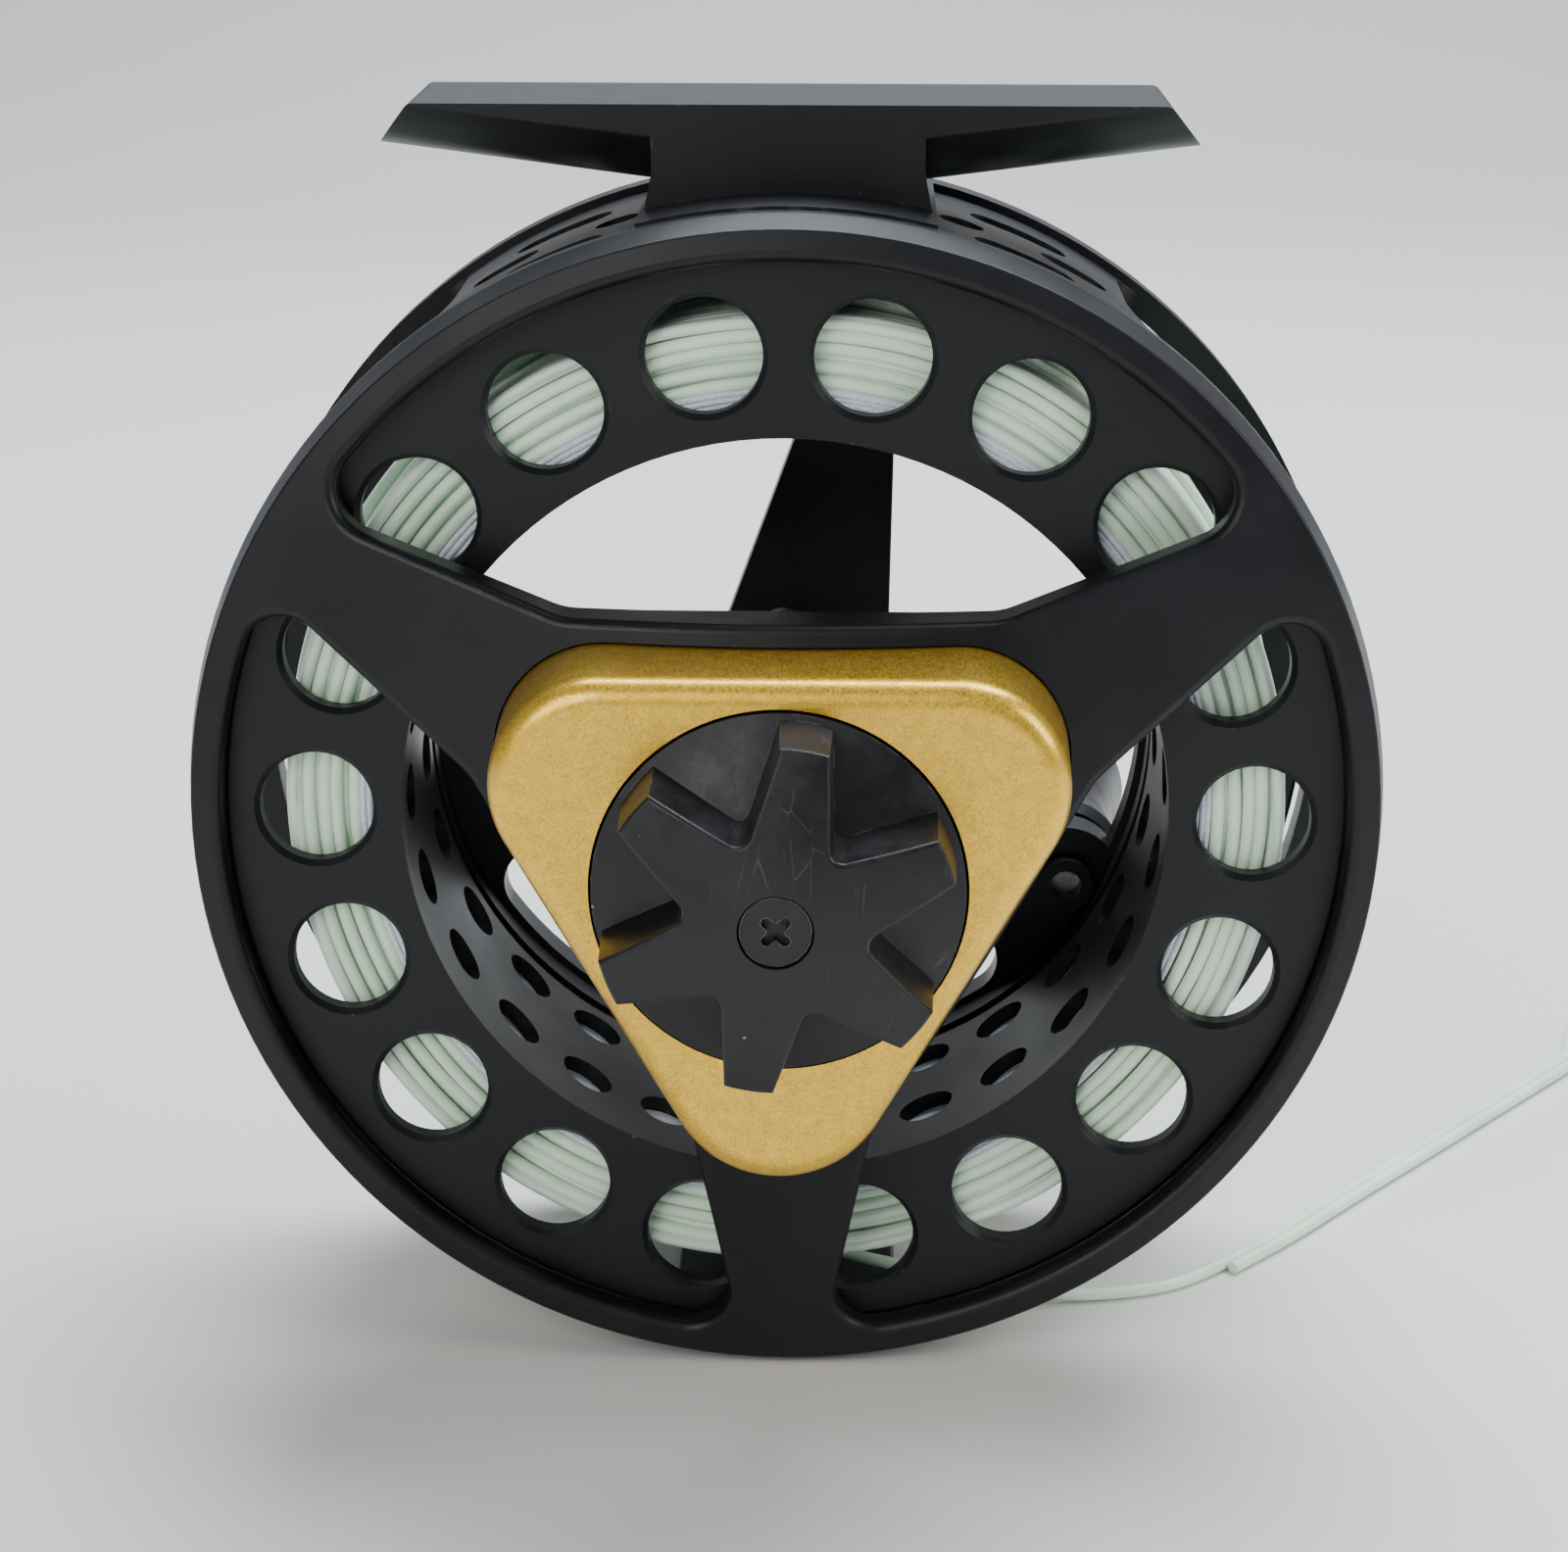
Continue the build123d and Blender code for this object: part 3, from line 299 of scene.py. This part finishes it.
class FLYREEL_OT_camera(bpy.types.Operator):
    """Place the camera above and in front of the reel"""

    bl_idname = "fly_reel.camera"
    bl_label = "Add Camera"

    def execute(self, context):
        data = bpy.data.cameras.new("camera")
        data.lens = context.scene.fly_reel_studio.lens
        data.sensor_width = 36.0
        data.clip_start = 0.01
        camera = bpy.data.objects.new("camera", data)
        context.scene.collection.objects.link(camera)
        yaw, pitch, roll = math.radians(-1.31), math.radians(18.046), math.radians(0.11)
        forward = Vector((math.sin(yaw) * math.cos(pitch), math.cos(yaw) * math.cos(pitch), -math.sin(pitch)))
        right = Vector((math.cos(yaw), -math.sin(yaw), 0.0))
        up = right.cross(forward)
        right, up = (
            math.cos(roll) * right + math.sin(roll) * up,
            math.cos(roll) * up - math.sin(roll) * right,
        )
        turn = Matrix((right, up, -forward)).transposed()
        camera.matrix_world = Matrix.Translation(spot(5.37, -233.35, 79.69)) @ turn.to_4x4()
        context.scene.camera = camera
        return {"FINISHED"}


LAY_HEIGHT = -43.38
LINE_ROUTE = (
    (-6.0, 9.6, -37.3),
    (1.0, 9.6, -38.3),
    (8.5, 9.8, -40.2),
    (15.5, 10.1, -41.7),
    (22.0, 10.6, -43.2),
    (27.5, 11.7, LAY_HEIGHT),
    (31.5, 13.3, LAY_HEIGHT),
    (35.5, 17.0, LAY_HEIGHT),
    (40.5, 22.3, LAY_HEIGHT),
    (46.0, 29.4, LAY_HEIGHT),
    (52.8, 37.6, LAY_HEIGHT),
    (60.5, 47.0, LAY_HEIGHT),
    (66.5, 54.3, LAY_HEIGHT),
    (70.5, 59.2, LAY_HEIGHT),
)
DOUBLED_FROM = 7
LOOP_SHAPE = (
    (2.6, -0.5),
    (6.4, -2.5),
    (10.6, -4.3),
    (15.0, -3.4),
    (17.3, 0.4),
    (15.4, 4.3),
    (11.0, 5.5),
    (6.6, 3.6),
    (2.9, 0.5),
)


def line_curve(name, stations, finish, diameter):
    """Round line along a smooth curve with these control stations."""
    data = bpy.data.curves.new(name, "CURVE")
    data.dimensions = "3D"
    data.bevel_depth = diameter / 2
    data.bevel_resolution = 5
    data.use_fill_caps = True
    data.resolution_u = 16
    spline = data.splines.new("NURBS")
    spline.points.add(len(stations) - 1)
    for point, station in zip(spline.points, stations):
        point.co = (*spot(*station), 1.0)
    spline.order_u = 3
    spline.use_endpoint_u = True
    data.materials.append(finish.material)
    piece = bpy.data.objects.new(name, data)
    bpy.context.scene.collection.objects.link(piece)
    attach(piece, "frame")
    return piece


def line_finish(settings):
    """Coated line: smooth, slightly translucent plastic with faint colour drift."""
    finish = Finish("line coating", settings.color, 0.32, Subsurface_Weight=0.25, Subsurface_Scale=0.6 * MM,
                    Coat_Weight=0.15, Coat_Roughness=0.2)
    finish.set("Subsurface Radius", (1.0, 1.0, 0.6))
    drift = finish.noise(9.0, 2.0)
    pale = tuple(min(1.0, c * 1.06 + 0.02) for c in settings.color)
    dull = tuple(c * 0.92 for c in settings.color)
    finish.color(finish.mix(finish.ramp(drift, 0.3, 0.7), dull, pale))
    finish.rough(finish.ramp(finish.noise(1.3, 3.0), 0.3, 0.7, 0.26, 0.42))
    finish.bump(finish.noise(0.35, 2.0), 0.012, 0.5)
    return finish


class FLYREEL_OT_free_line(bpy.types.Operator):
    """Lay the free end of the line with its welded loop"""

    bl_idname = "fly_reel.free_line"
    bl_label = "Add Free Line"

    def execute(self, context):
        settings = context.scene.fly_reel_line
        finish = line_finish(settings)
        finish.material.name = "free line coating"
        size = settings.diameter
        doubled = []
        for before, here, after in zip(LINE_ROUTE[DOUBLED_FROM - 1:], LINE_ROUTE[DOUBLED_FROM:],
                                       LINE_ROUTE[DOUBLED_FROM + 1:] + LINE_ROUTE[-1:]):
            run = math.hypot(after[0] - before[0], after[1] - before[1])
            ahead = ((after[0] - before[0]) / run, (after[1] - before[1]) / run)
            doubled.append((here[0] + ahead[1], here[1] - ahead[0], LAY_HEIGHT))
        middle = [(a + b) / 2 for a, b in zip(LINE_ROUTE[-1], doubled[-1])]
        loop = [LINE_ROUTE[-1]]
        for along, across in LOOP_SHAPE:
            loop.append((middle[0] + along * ahead[0] + across * ahead[1],
                         middle[1] + along * ahead[1] - across * ahead[0], LAY_HEIGHT))
        loop.append(doubled[-1])
        free = line_curve("free_line_strand", LINE_ROUTE, finish, size)
        second = line_curve("doubled_line_strand", doubled, finish, size)
        eye = line_curve("line_end_loop", loop, finish, size)
        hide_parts("free_line")
        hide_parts("doubled_line")
        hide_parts("line_loop")
        length = curve_length(free)
        return {"FINISHED"}


def curve_length(piece):
    """Length of a curve's own line."""
    bare = piece.copy()
    bare.data = piece.data.copy()
    bare.data.bevel_depth = 0.0
    bpy.context.scene.collection.objects.link(bare)
    bpy.context.view_layer.update()
    mesh = bpy.data.meshes.new_from_object(bare.evaluated_get(bpy.context.evaluated_depsgraph_get()))
    ends = [[mesh.vertices[i].co for i in edge.vertices] for edge in mesh.edges]
    length = sum((a - b).length for a, b in ends)
    bpy.data.objects.remove(bare)
    bpy.data.meshes.remove(mesh)
    return length


# ---------------------------------------------------------------- machined parts


class FLYREEL_OT_anodised(bpy.types.Operator):
    """Give the machined aluminium its satin black anodising"""

    bl_idname = "fly_reel.anodised"
    bl_label = "Finish Anodised Parts"

    def execute(self, context):
        settings = context.scene.fly_reel_finishes
        finish = Finish("black anodised", settings.anodised, settings.anodised_roughness, 0.0,
                        Specular_IOR_Level=0.30)
        blast = finish.noise(0.16, 4.0, 0.7)
        smudge = finish.noise(14.0, 4.0, 0.6)
        finish.rough(finish.ramp(finish.math("ADD", smudge, finish.math("MULTIPLY", blast, 0.35)),
                                 0.45, 0.95, settings.anodised_roughness - 0.07,
                                 settings.anodised_roughness + 0.08))
        worn = finish.math("MULTIPLY", finish.edge(0.35), finish.ramp(finish.noise(2.2, 4.0), 0.60, 0.70))
        nicks = finish.math("MULTIPLY", finish.edge(0.9), finish.ramp(finish.noise(0.8, 2.0), 0.72, 0.76))
        bare = finish.math("MAXIMUM", finish.math("MULTIPLY", worn, 0.55), nicks)
        tone = finish.mix(finish.ramp(smudge, 0.35, 0.65), settings.anodised,
                          tuple(c * 1.4 + 0.001 for c in settings.anodised))
        finish.color(finish.mix(bare, tone, (0.13, 0.125, 0.12)))
        finish.bump(blast, 0.02, 0.55)
        dress(finish, "frame", "foot", "spool", "drag_housing", "latch_cap")
        return {"FINISHED"}


class FLYREEL_OT_cover(bpy.types.Operator):
    """Give the drag cover its gold flake paint"""

    bl_idname = "fly_reel.cover"
    bl_label = "Finish Cover"

    def execute(self, context):
        settings = context.scene.fly_reel_finishes
        gold = settings.gold
        finish = Finish("gold flake paint", gold, 0.38, 0.85, Coat_Weight=0.45, Coat_Roughness=0.10)
        flake = finish.cells(0.10)
        shade = finish.node("ShaderNodeSeparateColor", {"Color": flake.outputs["Color"]})
        sparkle = finish.ramp(shade.outputs[0], 0.55, 1.0)
        deep = finish.ramp(shade.outputs[1], 0.65, 1.0)
        cloud = finish.noise(1.1, 3.0)
        base = finish.mix(finish.ramp(cloud, 0.3, 0.7), tuple(c * 0.9 for c in gold),
                          tuple(c * 1.08 for c in gold))
        base = finish.mix(finish.math("MULTIPLY", deep, 0.5), base, tuple(c * 0.5 for c in gold))
        base = finish.mix(finish.math("MULTIPLY", sparkle, 0.45), base, (1.0, 0.72, 0.16))
        finish.color(base)
        finish.rough(finish.ramp(shade.outputs[2], 0.0, 1.0, 0.28, 0.48))
        finish.bump(shade.outputs[2], 0.006, 0.5)
        dress(finish, "cover")
        return {"FINISHED"}


class FLYREEL_OT_knob(bpy.types.Operator):
    """Give the drag knob its scuffed moulded surface"""

    bl_idname = "fly_reel.knob"
    bl_label = "Finish Knob"

    def execute(self, context):
        settings = context.scene.fly_reel_finishes
        black = settings.moulding
        finish = Finish("scuffed moulding", black, 0.38, 0.0, Specular_IOR_Level=0.38)
        cloud = finish.noise(6.0, 5.0, 0.65)
        fine = finish.noise(0.22, 3.0)
        grain = finish.math("ADD", cloud, finish.math("MULTIPLY", fine, 0.2))
        finish.rough(finish.ramp(grain, 0.4, 0.75, 0.30, 0.52))
        scratches = None
        for angle, size in ((0.5, 1.5), (1.1, 2.1), (1.9, 1.7), (2.6, 2.3)):
            turned = finish.node("ShaderNodeMapping", {"Vector": finish.place, "Rotation": (0.0, angle, 0.0),
                                                       "Scale": (1.0, 0.2, 0.3)})
            line = finish.node("ShaderNodeTexVoronoi", {"Vector": turned.outputs[0], "Scale": 1000.0 / size},
                               feature="DISTANCE_TO_EDGE")
            thin = finish.ramp(line.outputs["Distance"], 0.022, 0.0)
            kept = finish.math("MULTIPLY", thin, finish.ramp(finish.noise(3.0 * size, 3.0), 0.60, 0.70))
            scratches = kept if scratches is None else finish.math("MAXIMUM", scratches, kept)
        specks = finish.ramp(finish.cells(1.5).outputs["Distance"], 0.10, 0.05)
        specks = finish.math("MULTIPLY", specks, finish.ramp(finish.noise(4.0, 2.0), 0.58, 0.64))
        worn = finish.math("MULTIPLY", finish.edge(0.3), finish.ramp(finish.noise(1.6, 4.0), 0.5, 0.65))
        marks = finish.math("MAXIMUM", finish.math("MULTIPLY", scratches, 0.12),
                            finish.math("MULTIPLY", worn, 0.3))
        marks = finish.math("MAXIMUM", marks, finish.math("MULTIPLY", specks, 0.7))
        tone = finish.mix(finish.ramp(cloud, 0.35, 0.7), black, tuple(c * 1.7 + 0.003 for c in black))
        finish.color(finish.mix(marks, tone, (0.30, 0.30, 0.31)))
        under = finish.bump(fine, 0.015, 0.35)
        finish.bump(finish.math("SUBTRACT", 1.0, scratches), 0.02, 0.4, under)
        dress(finish, "drag_knob")
        grip = Finish("handle moulding", tuple(c * 1.2 for c in black), 0.45)
        grip.rough(grip.ramp(grip.noise(5.0, 4.0), 0.35, 0.7, 0.36, 0.56))
        grip.color(grip.mix(grip.ramp(grip.noise(9.0, 3.0), 0.35, 0.65), black,
                            tuple(c * 1.9 for c in black)))
        grip.bump(grip.noise(0.25, 3.0), 0.02, 0.5)
        dress(grip, "handle_knob", "handle_washer", "bearing_spacer", "click_pawl")
        return {"FINISHED"}


class FLYREEL_OT_hardware(bpy.types.Operator):
    """Finish the steel, brass, carbon and rubber parts"""

    bl_idname = "fly_reel.hardware"
    bl_label = "Finish Hardware"

    def execute(self, context):
        steel = Finish("turned steel", (0.52, 0.52, 0.53), 0.28, 1.0)
        lathe = steel.noise(0.12, 3.0, 0.6, stretch=(0.06, 1.0, 0.06))
        steel.rough(steel.ramp(steel.noise(3.0, 4.0), 0.3, 0.7, 0.20, 0.40))
        steel.color(steel.mix(steel.ramp(lathe, 0.3, 0.7), (0.44, 0.44, 0.45), (0.60, 0.60, 0.61)))
        steel.bump(lathe, 0.012, 0.4)
        dress(steel, "cover_screws", "spindle", "spindle_nut", "front_spring", "rear_spring", "steel_discs",
              "housing_screws", "pawl_pin", "pawl_spring", "thrust_plate", "push_pins", "pressure_plate",
              "drag_hub", "clutch_bearing", "front_bearing", "rear_bearing", "counterweight",
              "latch_plate", "latch_spring",
              "latch_screws", "handle_post", "handle_screw")
        dark = Finish("blackened steel", (0.028, 0.027, 0.027), 0.42, 0.6)
        dark.rough(dark.ramp(dark.noise(1.2, 4.0), 0.3, 0.7, 0.34, 0.55))
        rubbed = dark.math("MULTIPLY", dark.edge(0.15), dark.ramp(dark.noise(0.6, 3.0), 0.4, 0.6))
        dark.color(dark.mix(dark.math("MULTIPLY", rubbed, 0.6), (0.028, 0.027, 0.027), (0.30, 0.29, 0.28)))
        dark.bump(dark.noise(0.2, 2.0), 0.01, 0.5)
        dress(dark, "knob_screw", "foot_screws")
        brass = Finish("turned brass", (0.62, 0.42, 0.16), 0.3, 1.0)
        turned = brass.noise(0.15, 3.0, 0.6, stretch=(0.06, 1.0, 0.06))
        brass.color(brass.mix(brass.ramp(brass.noise(2.5, 4.0), 0.3, 0.7), (0.52, 0.34, 0.12),
                              (0.70, 0.50, 0.22)))
        brass.rough(brass.ramp(turned, 0.3, 0.7, 0.22, 0.42))
        brass.bump(turned, 0.01, 0.4)
        dress(brass, "adjusting_nut", "click_gear")
        carbon = Finish("woven carbon", (0.02, 0.02, 0.022), 0.35)
        weave = carbon.node("ShaderNodeTexChecker", {"Vector": carbon.place, "Scale": 1000.0 / 0.8})
        carbon.color(carbon.mix(weave.outputs["Fac"], (0.012, 0.012, 0.013), (0.05, 0.05, 0.055)))
        carbon.rough(carbon.ramp(weave.outputs["Fac"], 0.0, 1.0, 0.28, 0.5))
        carbon.bump(weave.outputs["Fac"], 0.02, 0.3)
        dress(carbon, "carbon_discs")
        rubber = Finish("seal rubber", (0.016, 0.016, 0.016), 0.7)
        rubber.rough(rubber.ramp(rubber.noise(1.5, 3.0), 0.3, 0.7, 0.6, 0.82))
        rubber.bump(rubber.noise(0.2, 3.0), 0.02, 0.5)
        dress(rubber, "lip_seal")
        return {"FINISHED"}


# ---------------------------------------------------------------- wound line


def wander(rng, count, reach, waves=5):
    """Smooth closed wobble with values of about plus or minus reach."""
    angles = np.arange(count) * 2 * math.pi / count
    total = np.zeros(count)
    for wave in range(1, waves + 1):
        total += rng.uniform(-1, 1) / wave ** 0.6 * np.sin(wave * angles + rng.uniform(0, 2 * math.pi))
    return total / max(1e-9, np.abs(total).max()) * reach


def ring_points(radii, depths):
    """Closed loop of places about the spindle, radii and depths in millimetres."""
    count = len(radii)
    return [on_circle(r, 2 * math.pi * i / count, d) for i, (r, d) in enumerate(zip(radii, depths))]


class FLYREEL_OT_wound_line(bpy.types.Operator):
    """Wind the line and its backing on the spool, turn by turn"""

    bl_idname = "fly_reel.wound_line"
    bl_label = "Wind Line"

    def execute(self, context):
        settings = context.scene.fly_reel_line
        rng = random.Random(settings.seed)
        low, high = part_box("line_winding")
        outer = (high.z - low.z) / 2 / MM
        front = (low.y - RIM_FRONT) / MM
        back = (high.y - RIM_FRONT) / MM
        inner = (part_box("backing")[1].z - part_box("backing")[0].z) / 2 / MM
        size = settings.diameter / MM
        half = size / 2
        steps = 220
        strands = []
        # sides of the winding, in two staggered layers against each flange
        rows = int((outer - inner) / (size * 0.93))
        pitch = (outer - inner - size) / (rows - 1)
        for side, sign in ((front, 1), (back, -1)):
            common = wander(rng, steps, 0.32, 4)
            for layer in (0, 1):
                for row in range(rows - layer):
                    centre = inner + half + pitch * (row + 0.5 * layer)
                    own = wander(rng, steps, 0.24, 7)
                    radii = np.clip(centre + common * 0.5 + own, inner + half * 0.6, outer - half)
                    lift = np.abs(wander(rng, steps, 0.35, 5))
                    depths = side + sign * (half + 0.03 + layer * size * 0.82 + lift * (1 - layer))
                    strands.append((ring_points(radii, depths), True))
        # outer surface: side by side turns that slope from one flange to the other
        turns = int((back - front - size) / (size * 1.015))
        for turn in range(turns + 1):
            centre = front + half + 0.04 + (back - front - size - 0.08) * turn / turns
            depths = np.clip(centre + wander(rng, steps, 0.22, 4), front + half, back - half)
            radii = outer - half - np.abs(wander(rng, steps, 0.30, 6))
            strands.append((ring_points(radii, depths), True))
        # last turn, climbing over the rest to the place where the free line leaves
        start = math.atan2(LINE_ROUTE[0][0], LINE_ROUTE[0][2])
        start_radius = math.hypot(LINE_ROUTE[0][0], LINE_ROUTE[0][2])
        places = []
        for i in range(260):
            share = i / 259
            angle = start + share * 4.6
            easing = min(1.0, share * 2.2)
            radius = start_radius - 0.42 * easing - 0.85 * max(0, share - 0.8) * 5
            depth = LINE_ROUTE[0][1] + 4.5 * share + 0.5 * math.sin(share * 5)
            places.append(on_circle(radius, angle, depth))
        strands.append((places, False))
        finish = line_finish(settings)
        vertices, faces = tubes(strands, settings.diameter / 2)
        winding = mesh_piece("wound_line", vertices, faces, finish, "spool")
        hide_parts("line_winding")
        # turns below the surface, as one ring in painted shade: the line's colour darkened, darkest in
        # painted shade along the grooves between turns
        under = Finish("line below the surface in painted shade", tuple(c * 0.7 for c in settings.color), 0.6)
        groove_relief_and_shade = under.node("ShaderNodeTexWave",
                            {"Vector": under.place, "Scale": 1000.0 / 3.2, "Distortion": 1.5},
                            wave_type="RINGS", rings_direction="Y")
        # painted shade: grooves between the buried turns at 0.6 of the line colour, ridges at 0.9; the same
        # rings also drive a real bump
        under.color(under.mix(groove_relief_and_shade.outputs["Fac"], tuple(c * 0.6 for c in settings.color),
                              tuple(c * 0.9 for c in settings.color)))
        under.bump(groove_relief_and_shade.outputs["Fac"], 0.3, 0.6)
        profile = [(inner + 0.02, front + 1.5 * size), (outer - size * 0.9, front + 1.5 * size),
                   (outer - size * 0.9, back - 1.5 * size), (inner + 0.02, back - 1.5 * size)]
        self.lathe("line_core", profile, under, "line_green")
        # backing: finer braided turns under the line
        fibre = Finish("braided backing", settings.backing_color, 0.75, Sheen_Weight=0.3)
        braid = fibre.noise(0.25, 2.0, stretch=(1.0, 2.5, 1.0))
        fibre.color(fibre.mix(fibre.ramp(braid, 0.35, 0.65), tuple(c * 0.8 for c in settings.backing_color),
                              settings.backing_color))
        fibre.bump(braid, 0.08, 0.7)
        fine = settings.backing_diameter / MM
        base = inner - 1.8
        threads = []
        rows = int((inner - base) / (fine * 0.9))
        for side, sign in ((front, 1), (back, -1)):
            for layer in (0, 1):
                for row in range(rows):
                    centre = base + fine / 2 + (inner - base - fine) * row / (rows - 1)
                    radii = np.clip(centre + wander(rng, steps, 0.12, 9), base + fine / 2, inner - fine * 0.3)
                    depths = side + sign * (fine / 2 + 0.02 + layer * fine * 0.7
                                            + np.abs(wander(rng, steps, 0.14, 7)) * (1 - layer))
                    threads.append((ring_points(radii, depths), True))
        vertices, faces = tubes(threads, settings.backing_diameter / 2, 6)
        backing = mesh_piece("wound_backing", vertices, faces, fibre, "spool")
        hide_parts("backing")
        profile = [(base + 0.02, front + fine), (inner, front + fine),
                   (inner, back - fine), (base + 0.02, back - fine)]
        self.lathe("backing_core", profile, fibre, "backing_white")
        return {"FINISHED"}

    def lathe(self, name, profile, finish, slot_name):
        """Closed ring about the spindle with this profile of (radius, depth)."""
        steps, count = 160, len(profile)
        vertices, faces = [], []
        for i in range(steps):
            for radius, depth in profile:
                vertices.append(on_circle(radius, 2 * math.pi * i / steps, depth))
        for i in range(steps):
            for k in range(count):
                m, j = (k + 1) % count, (i + 1) % steps
                faces.append((i * count + k, i * count + m, j * count + m, j * count + k))
        return mesh_piece(name, vertices, faces, finish, "spool", smooth=False)


# ---------------------------------------------------------------- studio


class FLYREEL_OT_stage(bpy.types.Operator):
    """Set up the pale floor and the soft boxes"""

    bl_idname = "fly_reel.stage"
    bl_label = "Add Studio"

    def execute(self, context):
        settings = context.scene.fly_reel_studio
        finish = Finish("studio floor", settings.floor, 0.75)
        finish.color(finish.mix(finish.ramp(finish.noise(160.0, 3.0), 0.3, 0.7),
                                tuple(c * 0.97 for c in settings.floor), settings.floor))
        vertices, faces = [], []
        sweep = [(-1.2, 0.0), (0.55, 0.0)]
        for i in range(1, 17):
            angle = math.radians(90 * i / 16)
            sweep.append((0.55 + 0.35 * math.sin(angle), 0.35 * (1 - math.cos(angle))))
        sweep.append((0.90, 1.4))
        for y, z in sweep:
            vertices += [(-1.6, y, z), (1.6, y, z)]
        for i in range(len(sweep) - 1):
            faces.append((2 * i, 2 * i + 1, 2 * i + 3, 2 * i + 2))
        mesh = bpy.data.meshes.new("studio_floor")
        mesh.from_pydata(vertices, [], faces)
        mesh.polygons.foreach_set("use_smooth", [True] * len(mesh.polygons))
        mesh.materials.append(finish.material)
        floor = bpy.data.objects.new("studio_floor", mesh)
        context.scene.collection.objects.link(floor)
        self.soft_box("overhead_box", (0.10, 0.28, 0.62), 0.60, 0.45, settings.key_power, (0.86, 0.93, 1.0))
        self.soft_box("front_box", (-0.30, -0.62, 0.40), 0.45, 0.45, settings.fill_power, (1.0, 0.97, 0.93))
        self.soft_box("right_box", (0.62, -0.20, 0.35), 0.35, 0.35, settings.fill_power * 0.7,
                      (1.0, 0.98, 0.95))
        world = bpy.data.worlds.new("studio")
        world.use_nodes = True
        world.node_tree.nodes["Background"].inputs[0].default_value = (0.72, 0.82, 1.0, 1.0)
        world.node_tree.nodes["Background"].inputs[1].default_value = 0.26
        context.scene.world = world
        return {"FINISHED"}

    def soft_box(self, name, place, width, height, power, color):
        data = bpy.data.lights.new(name, "AREA")
        data.shape = "RECTANGLE"
        data.size, data.size_y = width, height
        data.energy = power
        data.color = color
        light = bpy.data.objects.new(name, data)
        light.location = place
        aim = Vector((0.0, 0.0, 0.05)) - Vector(place)
        light.rotation_euler = aim.to_track_quat("-Z", "Y").to_euler()
        bpy.context.scene.collection.objects.link(light)


# ---------------------------------------------------------------- panel and registration

STEPS = (
    FLYREEL_OT_camera,
    FLYREEL_OT_free_line,
    FLYREEL_OT_wound_line,
    FLYREEL_OT_anodised,
    FLYREEL_OT_cover,
    FLYREEL_OT_knob,
    FLYREEL_OT_hardware,
    FLYREEL_OT_stage,
)


class FLYREEL_PT_panel(bpy.types.Panel):
    """Buttons and settings of the fly reel"""

    bl_idname = "FLYREEL_PT_panel"
    bl_label = "Fly Reel"
    bl_space_type = "VIEW_3D"
    bl_region_type = "UI"
    bl_category = "Fly Reel"

    def draw(self, context):
        layout = self.layout
        scene = context.scene
        for group in (scene.fly_reel_line, scene.fly_reel_finishes, scene.fly_reel_studio):
            for name in group.__annotations__:
                layout.prop(group, name)
        for step in STEPS:
            layout.operator(step.bl_idname)


GROUPS = (
    ("fly_reel_line", FLYREEL_PG_line),
    ("fly_reel_finishes", FLYREEL_PG_finishes),
    ("fly_reel_studio", FLYREEL_PG_studio),
)


def register():
    for name, group in GROUPS:
        bpy.utils.register_class(group)
        setattr(bpy.types.Scene, name, PointerProperty(type=group))
    for step in STEPS:
        bpy.utils.register_class(step)
    bpy.utils.register_class(FLYREEL_PT_panel)


def unregister():
    bpy.utils.unregister_class(FLYREEL_PT_panel)
    for step in reversed(STEPS):
        bpy.utils.unregister_class(step)
    for name, group in reversed(GROUPS):
        delattr(bpy.types.Scene, name)
        bpy.utils.unregister_class(group)


def main():
    register()
    for step in STEPS:
        area, action = step.bl_idname.split(".")
        getattr(getattr(bpy.ops, area), action)()


if __name__ == "__main__":
    main()
